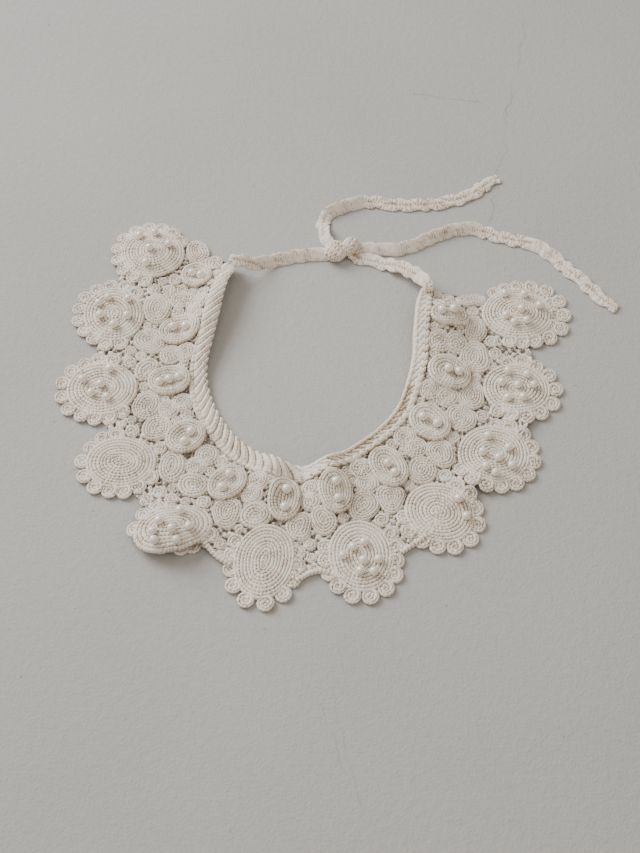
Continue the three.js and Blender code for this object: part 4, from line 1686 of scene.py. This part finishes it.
@dataclass
class Petals:
    """The ring of large ovals, each edged with small curled shells, most with a cluster of pearls."""

    crown: Profile = ((0, 2.95), (0.7, 2.85), (0.92, 2.8), (1, 2.4))
    shell_crown: Profile = ((0, 1.3), (0.4, 1.6), (0.75, 2.0), (1, 1.5))
    shell_arc: float = 256.0
    shell_spacing: float = 7.9
    shell_most: float = 4.4
    shell_tip: float = 0.12
    tucked: float = 0.4
    least_proud: float = 2.2  # where the outline stands out less than this there is no shell
    second_layer: float = 9.5  # shells that stand out more than this have a second row behind them
    rolled: dict[str, float] = field(default_factory=lambda: {"petal_05": 6.0})  # drop of its front shells
    # places of the pearls from the petal's middle
    pearls: dict[str, Profile] = field(default_factory=lambda: {
        "petal_01": ((-7.5, 10), (1, 12), (-1, 0), (9.5, 3.5), (-2.5, -9.5)),
        "petal_02": ((-8.5, 6), (-3.5, 10), (7.5, 9), (-7, -2), (8, -2.5), (1, -8.5)),
        "petal_03": ((3.5, 11), (-10.5, 4.5), (-0.5, 1.5), (-5, -4), (3.5, -6.5)),
        "petal_05": ((3.5, 8), (-6, 1), (-9, -4.5), (0.5, -3.5), (8.5, -1), (-8, -9), (3, -9)),
        "petal_07": ((-4, 3.5), (1.5, 6), (-9, -1), (1, -3.5), (8.5, -3), (-0.5, -9), (6, -9.5)),
        "petal_08": ((9.5, 6), (13, -3)),
        "petal_09": ((-2.5, 9.5), (-6, 0), (2, -3.5), (7.5, 2.5), (-5, -9), (-0.5, -12.5), (8.5, -8)),
        "petal_10": ((-4, 10), (6, 7.5), (-8, 2.5), (0.5, 1), (9, 1), (-5.5, -7), (2.5, -7)),
        "petal_11": ((-6.5, 11.5), (4, 10.5), (12, 3.5), (1.5, 0), (-7, -3.5), (-3, -8), (4, -7)),
    })

    def shells(self, outline: Outline, cloth: Cloth) -> list[Patch]:
        """Works the shells: small spirals in a fan round the petal's outward side, tucked under its edge.

        Args:
            outline: the petal's outline.
            cloth: the surface that it lies on.

        Returns:
            One patch a shell.
        """
        fan = np.radians(outline.bearing + np.linspace(-0.5, 0.5, 60) * self.shell_arc)
        middles = float(outline.edge(fan).mean()) - self.shell_most
        count = round(middles * math.radians(self.shell_arc) / self.shell_spacing)
        pitch = self.shell_arc / count
        start = outline.bearing - self.shell_arc / 2
        half = math.radians(pitch) / 2 * 1.3
        made = []
        for k, angle in enumerate(np.radians(start + (np.arange(count) + 0.5) * pitch)):
            around = angle + np.radians(np.linspace(-0.3, 0.3, 5) * pitch)
            reach = float(outline.edge(around).max()) + 0.2
            body = float(outline.edge(angle, inner=True))
            if reach - body < self.least_proud:
                continue
            radius = min(reach * half / (1 + half), self.shell_most)
            drop = self.rolled.get(outline.name, 0.0) * (math.sin(angle) < -0.4)
            spots = [reach - radius - 0.7 * drop - self.tucked]
            if reach - body > self.second_layer:
                spots.append(body + radius * 0.35)
            tip = (-self.shell_tip * math.sin(angle), self.shell_tip * math.cos(angle))
            for layer, spot in enumerate(spots):
                centre = outline.hub + spot * np.array([math.cos(angle), math.sin(angle)])
                made.append(Spiral(
                    centre=centre, lie=float(angle) + 2.4, chain=0.25, rim=even_rim(radius), size=radius,
                    rows=2, crown=self.shell_crown, seed=900 + 20 * k + layer, yarn=CURLED, droop=drop,
                    tip=tip).patch(cloth))
        return made

    def build(self, outlines: Sequence[Outline], cloth: Cloth, cotton: Material, pearl: Material) -> None:
        """Args:
            outlines: where they lie.
            cloth: the surface that they lie on.
            cotton: their finish.
            pearl: the pearls' finish.
        """
        for k, outline in enumerate(outlines):
            lie, long, wide = outline.axes(inner=True)
            body = Spiral(
                centre=outline.hub, lie=lie, chain=max(0.3, (long - wide) * 0.6),
                rim=lambda a, o=outline: o.edge(a, inner=True) + 0.3, size=(long + wide) / 2,
                rows=WORKED.rows_in(wide), crown=self.crown, seed=100 + k)
            patches = [body.patch(cloth), *self.shells(outline, cloth)]
            piece = make_piece(outline.name + "_crochet", Patch.join(patches), cotton)
            dress(outline.name)
            if outline.name in self.pearls:
                places = outline.hub + np.array(self.pearls[outline.name])
                tops = cloth.lift(places) + self.crown[0][1]
                Pearls().build(outline.name + "_pearls", places, tops, pearl, seed=300 + k)
            flat, area = self.flat(outline, len(patches) - 1)

    def flat(self, outline: Outline, shells: int) -> tuple[tuple[float, float], float]:
        """The petal's flat size: its oval and its shells as worked, with what is tucked under the oval.

        Args:
            outline: the petal's outline.
            shells: the number of shells.

        Returns:
            The flat width and length in metres, and the flat area in square metres.
        """
        _, long, wide = outline.axes(inner=True)
        radius = 1.08 * self.shell_most
        area = (math.pi * long * wide + shells * math.pi * radius ** 2) * MM * MM
        width, length = outline.flat()
        larger = max(1.0, math.sqrt(area / (0.9 * width * length)))
        return (width * larger, length * larger), area


@dataclass
class Buds:
    """Small raised ovals next to the neckband: a thick rim round a sunk middle with pearls in it."""

    crown: Profile = ((0, 2.5), (0.25, 2.8), (0.5, 3.9), (0.7, 4.7), (0.86, 4.7), (1, 3.7))
    grow: float = 1.05
    # places of the pearls from the bud's middle
    pearls: dict[str, Profile] = field(default_factory=lambda: {
        "bud_01": ((-2.5, 0.5), (2.5, -1.5)),
        "bud_02": ((-3, 1.5), (4, 0.5)),
        "bud_03": ((-4.5, -2), (0.5, -0.5), (5.5, 1)),
        "bud_04": ((3, 2), (0, -4)),
        "bud_05": ((1.5, 4.5), (-2, -3)),
        "bud_06": ((1, 5), (0, -4.5)),
        "bud_07": ((0, 4.5), (1, -4)),
        "bud_08": ((-0.5, 1.5), (3, -4)),
        "bud_09": ((-4, 2.5), (3.5, -1.5)),
        "bud_10": ((-1, 1), (4.5, 0)),
        "bud_11": ((-5, 0), (1.5, 1)),
    })
    wall: float = 2.4  # what the raised rim takes up, outside the oval, when it is pressed flat

    def build(self, outlines: Sequence[Outline], cloth: Cloth, cotton: Material, pearl: Material) -> None:
        """Args:
            outlines: where they lie.
            cloth: the surface that they lie on.
            cotton: their finish.
            pearl: the pearls' finish.
        """
        for k, outline in enumerate(outlines):
            _, long, wide = outline.axes()
            spiral = Spiral.small_oval(
                outline, self.grow, rows=FINE.rows_in(wide * self.grow), crown=self.crown, seed=200 + k)
            piece = make_piece(outline.name + "_crochet", spiral.patch(cloth), cotton)
            dress(outline.name)
            places = outline.hub + np.array(self.pearls[outline.name])
            tops = cloth.lift(places) + self.crown[1][1]
            beads = Pearls(radius=2.45).build(outline.name + "_pearls", places, tops, pearl, seed=400 + k)
            flat, area = pressed([(wide, long)], self.wall)


@dataclass
class Twins:
    """Pairs of little rounds between the buds, one nearer the neck than the other."""

    crown: Profile = ((0, 2.6), (0.6, 2.9), (1, 2.2))
    grow: float = 1.05
    wall: float = 1.0

    def build(self, outlines: Sequence[Outline], cloth: Cloth, cotton: Material) -> None:
        """Args:
            outlines: where they lie.
            cloth: the surface that they lie on.
            cotton: their finish.
        """
        for k, outline in enumerate(outlines):
            away = math.radians(outline.bearing)
            waist = float(outline.edge(np.array([away + TURN / 4, away - TURN / 4])).mean())
            patches, halves = [], []
            for side in (0, 1):
                turn = away + side * math.pi
                tip = float(outline.edge(turn))
                round_ = (tip + waist ** 2 / tip) / 2
                centre = outline.hub + (tip - round_) * np.array([math.cos(turn), math.sin(turn)])
                radius = round_ * self.grow
                halves.append((radius, radius))
                spiral = Spiral.small_round(
                    centre, radius, lie=turn + 0.6, chain=0.4, crown=self.crown, seed=500 + 2 * k + side)
                patches.append(spiral.patch(cloth))
            piece = make_piece(outline.name + "_crochet", Patch.join(patches), cotton)
            dress(outline.name)
            flat, area = pressed(halves, self.wall)


@dataclass
class Leaves:
    """Plain ovals that fill the space between buds, twins and petals."""

    crown: Profile = ((0, 2.3), (0.5, 2.7), (0.85, 2.6), (1, 2.0))
    grow: float = 1.03
    wall: float = 0.8

    def build(self, outlines: Sequence[Outline], cloth: Cloth, cotton: Material) -> None:
        """Args:
            outlines: where they lie.
            cloth: the surface that they lie on.
            cotton: their finish.
        """
        for k, outline in enumerate(outlines):
            _, long, wide = outline.axes()
            spiral = Spiral.small_oval(outline, self.grow, rows=FINE.rows_in(wide), crown=self.crown,
                                       seed=600 + k, sense=1 if k % 3 else -1)
            piece = make_piece(outline.name + "_crochet", spiral.patch(cloth), cotton)
            dress(outline.name)
            flat, area = pressed([(wide, long)], self.wall)


@dataclass
class JoiningLace:
    """The small rounds worked in the gaps between larger pieces, the net under them and the border chains."""

    least: float = 2.3  # the radius of the smallest round, and of the largest
    most: float = 3.8
    # bearing and distance of the lace's outer border in each notch between two petals
    border: Profile = (
        (131, 108), (156, 119), (181, 117), (205, 119), (227, 128), (249, 132), (272, 132), (293, 128),
        (313, 119), (336, 123), (359, 118), (389, 100),
    )
    tuck: float = 0.1  # how far a round goes under its neighbours
    spacing: float = 0.8
    bearings: tuple[float, float] = (131.0, 389.0)
    splay_from: float = 75.0  # past this distance the two ends draw in, by so many degrees a millimetre
    splay: tuple[float, float] = (0.4, 0.6)
    crown: Profile = ((0, 1.9), (0.6, 2.1), (1, 1.6))
    wall: float = 1.0
    # the chains that tie one petal's shells to the next petal's
    bars: tuple[tuple[Point, ...], ...] = (
        ((-8.5, -137, 1.6), (-1, -132.6, 1.9), (6.2, -131.9, 1.9), (16, -136, 1.6)),
        ((43, -122, 1.6), (51.2, -116.5, 1.8), (58, -112, 1.6)),
        ((-55, -115, 4.6), (-47.3, -123.5, 3.0), (-39.5, -128.5, 1.7)),
    )
    bar_radius: float = 1.35
    net_step: float = 0.8
    mesh_size: float = 4.4  # from one hole of the net to the next
    mean_reach: float = 92.0  # where the net's holes have that size round the neck

    def limit(self, bearing: Floats) -> Floats:
        """The distance of the lace's outer border at bearings."""
        bearings, reaches = zip(*self.border)
        return np.interp(bearing, bearings, reaches)

    def net(self, cloth: Cloth, band: Neckband) -> tuple[Patch, tuple[float, float], float]:
        """Works the net that fills in behind the small rounds, from the band out to the border, with painted
        shade in its holes.

        Its holes are where cos(2 pi a / mesh) * cos(2 pi b / mesh) is high, for a round the neck and b away
        from it, both bent a little by slow waves.

        Args:
            cloth: the surface that it lies on.
            band: the neckband.

        Returns:
            The net's patch, its flat width and length in metres, and its flat area in square metres.
        """
        rng = np.random.default_rng(31)
        rows, columns, under = round(400 / self.net_step), round(48 / self.net_step), 12
        way = np.linspace(0, 1, rows)[:, None]
        share = np.linspace(0, 1, columns)[None, :]
        start, end = self.bearings
        middling = start + way * (end - start)
        near = reach_at(middling, band.outer_edge()) - 0.5
        reach = near + share * (self.limit(middling) - near)
        past = np.maximum(0, reach - self.splay_from)
        bearing = start + self.splay[0] * past + way * (end - start - (self.splay[0] + self.splay[1]) * past)
        reach = near + share * (self.limit(bearing) - near)

        a = np.radians(bearing) * self.mean_reach
        a = a + 0.9 * wave_of(rng, reach / 40 + a / 90, (1.0, 2.2))
        b = reach + 0.9 * wave_of(rng, a / 60 - reach / 90, (1.0, 2.6))
        holes = np.cos(TURN * a / self.mesh_size) * np.cos(TURN * b / self.mesh_size)
        solid = 1 - np.clip((holes + 0.05) / 0.25, 0, 1)
        strands = 0.5 + 0.5 * np.cos(TURN * (a + b) / 1.3)
        rim = bump(1 - share, 0.02)
        edge = np.clip((share - 0.6) / 0.3, 0, 1)
        top = 0.15 + (0.95 + 0.2 * strands) * solid + 0.5 * edge * solid + 0.6 * rim
        # painted shade: the relief is 0 in the holes and low along the strands, so they take the net's
        # near-black groove colour
        relief = (0.35 + 0.25 * strands + 0.2 * edge) * (1 - (1 - solid) * (1 - rim))

        below = np.linspace(1, 0, under + 2)[None, 1:-1]
        below_reach = near + 0.4 + below * (self.limit(bearing[:, -1:]) - near - 0.8)
        below_bearing = bearing[:, :1] + below * (bearing[:, -1:] - bearing[:, :1])
        bearing = np.radians(np.hstack([bearing, below_bearing]))
        reach = np.hstack([reach, below_reach])
        plan = np.dstack([reach * np.cos(bearing), reach * np.sin(bearing)])
        bottom = np.zeros((rows, under))
        height = cloth.lift(plan) + np.hstack([top, bottom])
        stitches = np.dstack([np.hstack([steps, bottom]) / 1.5 for steps in (a, b)])
        patch = closed_bar(np.dstack([plan, height]), np.hstack([relief, bottom + 0.3]), stitches)
        along = np.diff(plan[:, :columns], axis=0)[:, :-1]
        across = np.diff(plan[:, :columns], axis=1)[:-1]
        area = float(np.abs(along[..., 0] * across[..., 1] - along[..., 1] * across[..., 0]).sum()) * MM * MM
        width = float((self.limit(middling) - near).max()) * MM
        return patch, (width, area / width * 1.15), area

    def rounds(self, ovals: dict[Kind, list[Outline]], band: Neckband) -> Floats:
        """Finds the gaps: again and again the place farthest from all pieces takes a round that just fits.

        Args:
            ovals: every oval's outline.
            band: the neckband.

        Returns:
            The middle and radius of each round, (n, 3).
        """
        steps = np.arange(-150, 150, self.spacing)
        plan = np.stack(np.meshgrid(steps, steps), axis=-1).reshape(-1, 2)
        reach = np.hypot(plan[:, 0], plan[:, 1])
        bearing = bearing_of(plan)
        outer = band.outer_edge()
        past = np.maximum(0, reach - self.splay_from)
        between_ends = ((bearing > self.bearings[0] + self.splay[0] * past)
                        & (bearing < self.bearings[1] - self.splay[1] * past))
        plan = plan[between_ends & (reach < self.limit(bearing) - 3.0) & (reach > reach_at(bearing, outer))]
        room = np.full(len(plan), self.most)
        for outline in [outline for kind in ovals.values() for outline in kind]:
            away = plan - outline.hub
            distance = np.hypot(away[:, 0], away[:, 1])
            edge = outline.edge(np.arctan2(away[:, 1], away[:, 0]))
            room = np.minimum(room, distance - edge)
        for chunk in np.array_split(outer, 12):
            gap = np.linalg.norm(plan[:, None] - chunk[None], axis=2).min(axis=1)
            room = np.minimum(room, gap)
        found = []
        while True:
            best = int(np.argmax(room))
            radius = float(room[best])
            if radius < self.least:
                return np.array(found)
            found.append((*plan[best], radius + self.tuck))
            room = np.minimum(room, np.linalg.norm(plan - plan[best], axis=1) - radius)

    def build(self, cloth: Cloth, material: Material, net_with_painted_shade: Material,
              ovals: dict[Kind, list[Outline]], band: Neckband) -> None:
        """Args:
            cloth: the surface that they lie on.
            material: the rounds' finish.
            net_with_painted_shade: the net's finish.
            ovals: every oval's outline.
            band: the neckband.
        """
        found = self.rounds(ovals, band)
        patches = []
        for k, (x, y, radius) in enumerate(found):
            spiral = Spiral.small_round(
                np.array([x, y]), radius, lie=2.1 * k, chain=0.2, crown=self.crown, seed=700 + k)
            patches.append(spiral.patch(cloth))
        patches += [strand_patch(bar, self.bar_radius, 2.0) for bar in self.bars]
        piece = make_piece("joining_rounds", Patch.join(patches), material)
        flat, area = pressed(found[:, [2, 2]].tolist(), self.wall)
        LOG.info("%d small rounds fill the gaps", len(found))
        patch, flat, area = self.net(cloth, band)
        net = make_piece("joining_net", patch, net_with_painted_shade)


def main() -> None:
    """Builds the scene: camera, ties, band, ovals and small rounds, then floor and light."""
    logging.basicConfig(level=logging.INFO, format="%(name)s: %(message)s")
    studio = Studio()
    studio.set_camera()
    cotton = CottonFinish().build()
    # painted shade: the net's copy of the cotton has a near-black groove colour, so its holes and low strands
    # look deep in shade
    shaded = CottonFinish(name="cream cotton net", groove=(0.18, 0.14, 0.105, 1.0)).build()
    pearl = PearlFinish().build()
    cloth = Cloth()
    Ties().build(cotton)
    band = Neckband()
    band.build(cloth, cotton)
    ovals = Layout(band.outer_edge()).read()
    Petals().build(ovals[Kind.PETAL], cloth, cotton, pearl)
    Buds().build(ovals[Kind.BUD], cloth, cotton, pearl)
    Twins().build(ovals[Kind.TWIN], cloth, cotton)
    Leaves().build(ovals[Kind.LEAF], cloth, cotton)
    JoiningLace().build(cloth, cotton, shaded, ovals, band)
    studio.lay_floor()
    studio.hang_lights()
    total = 0
    for piece in bpy.context.scene.collection.objects:
        if piece.type == "MESH" and piece.name not in frame["nodes"]:
            triangles = sum(len(face.vertices) - 2 for face in piece.data.polygons)
            total += triangles
            LOG.info("%s: %d triangles", piece.name, triangles)
    LOG.info("%d triangles in all", total)


if __name__ == "__main__":
    main()
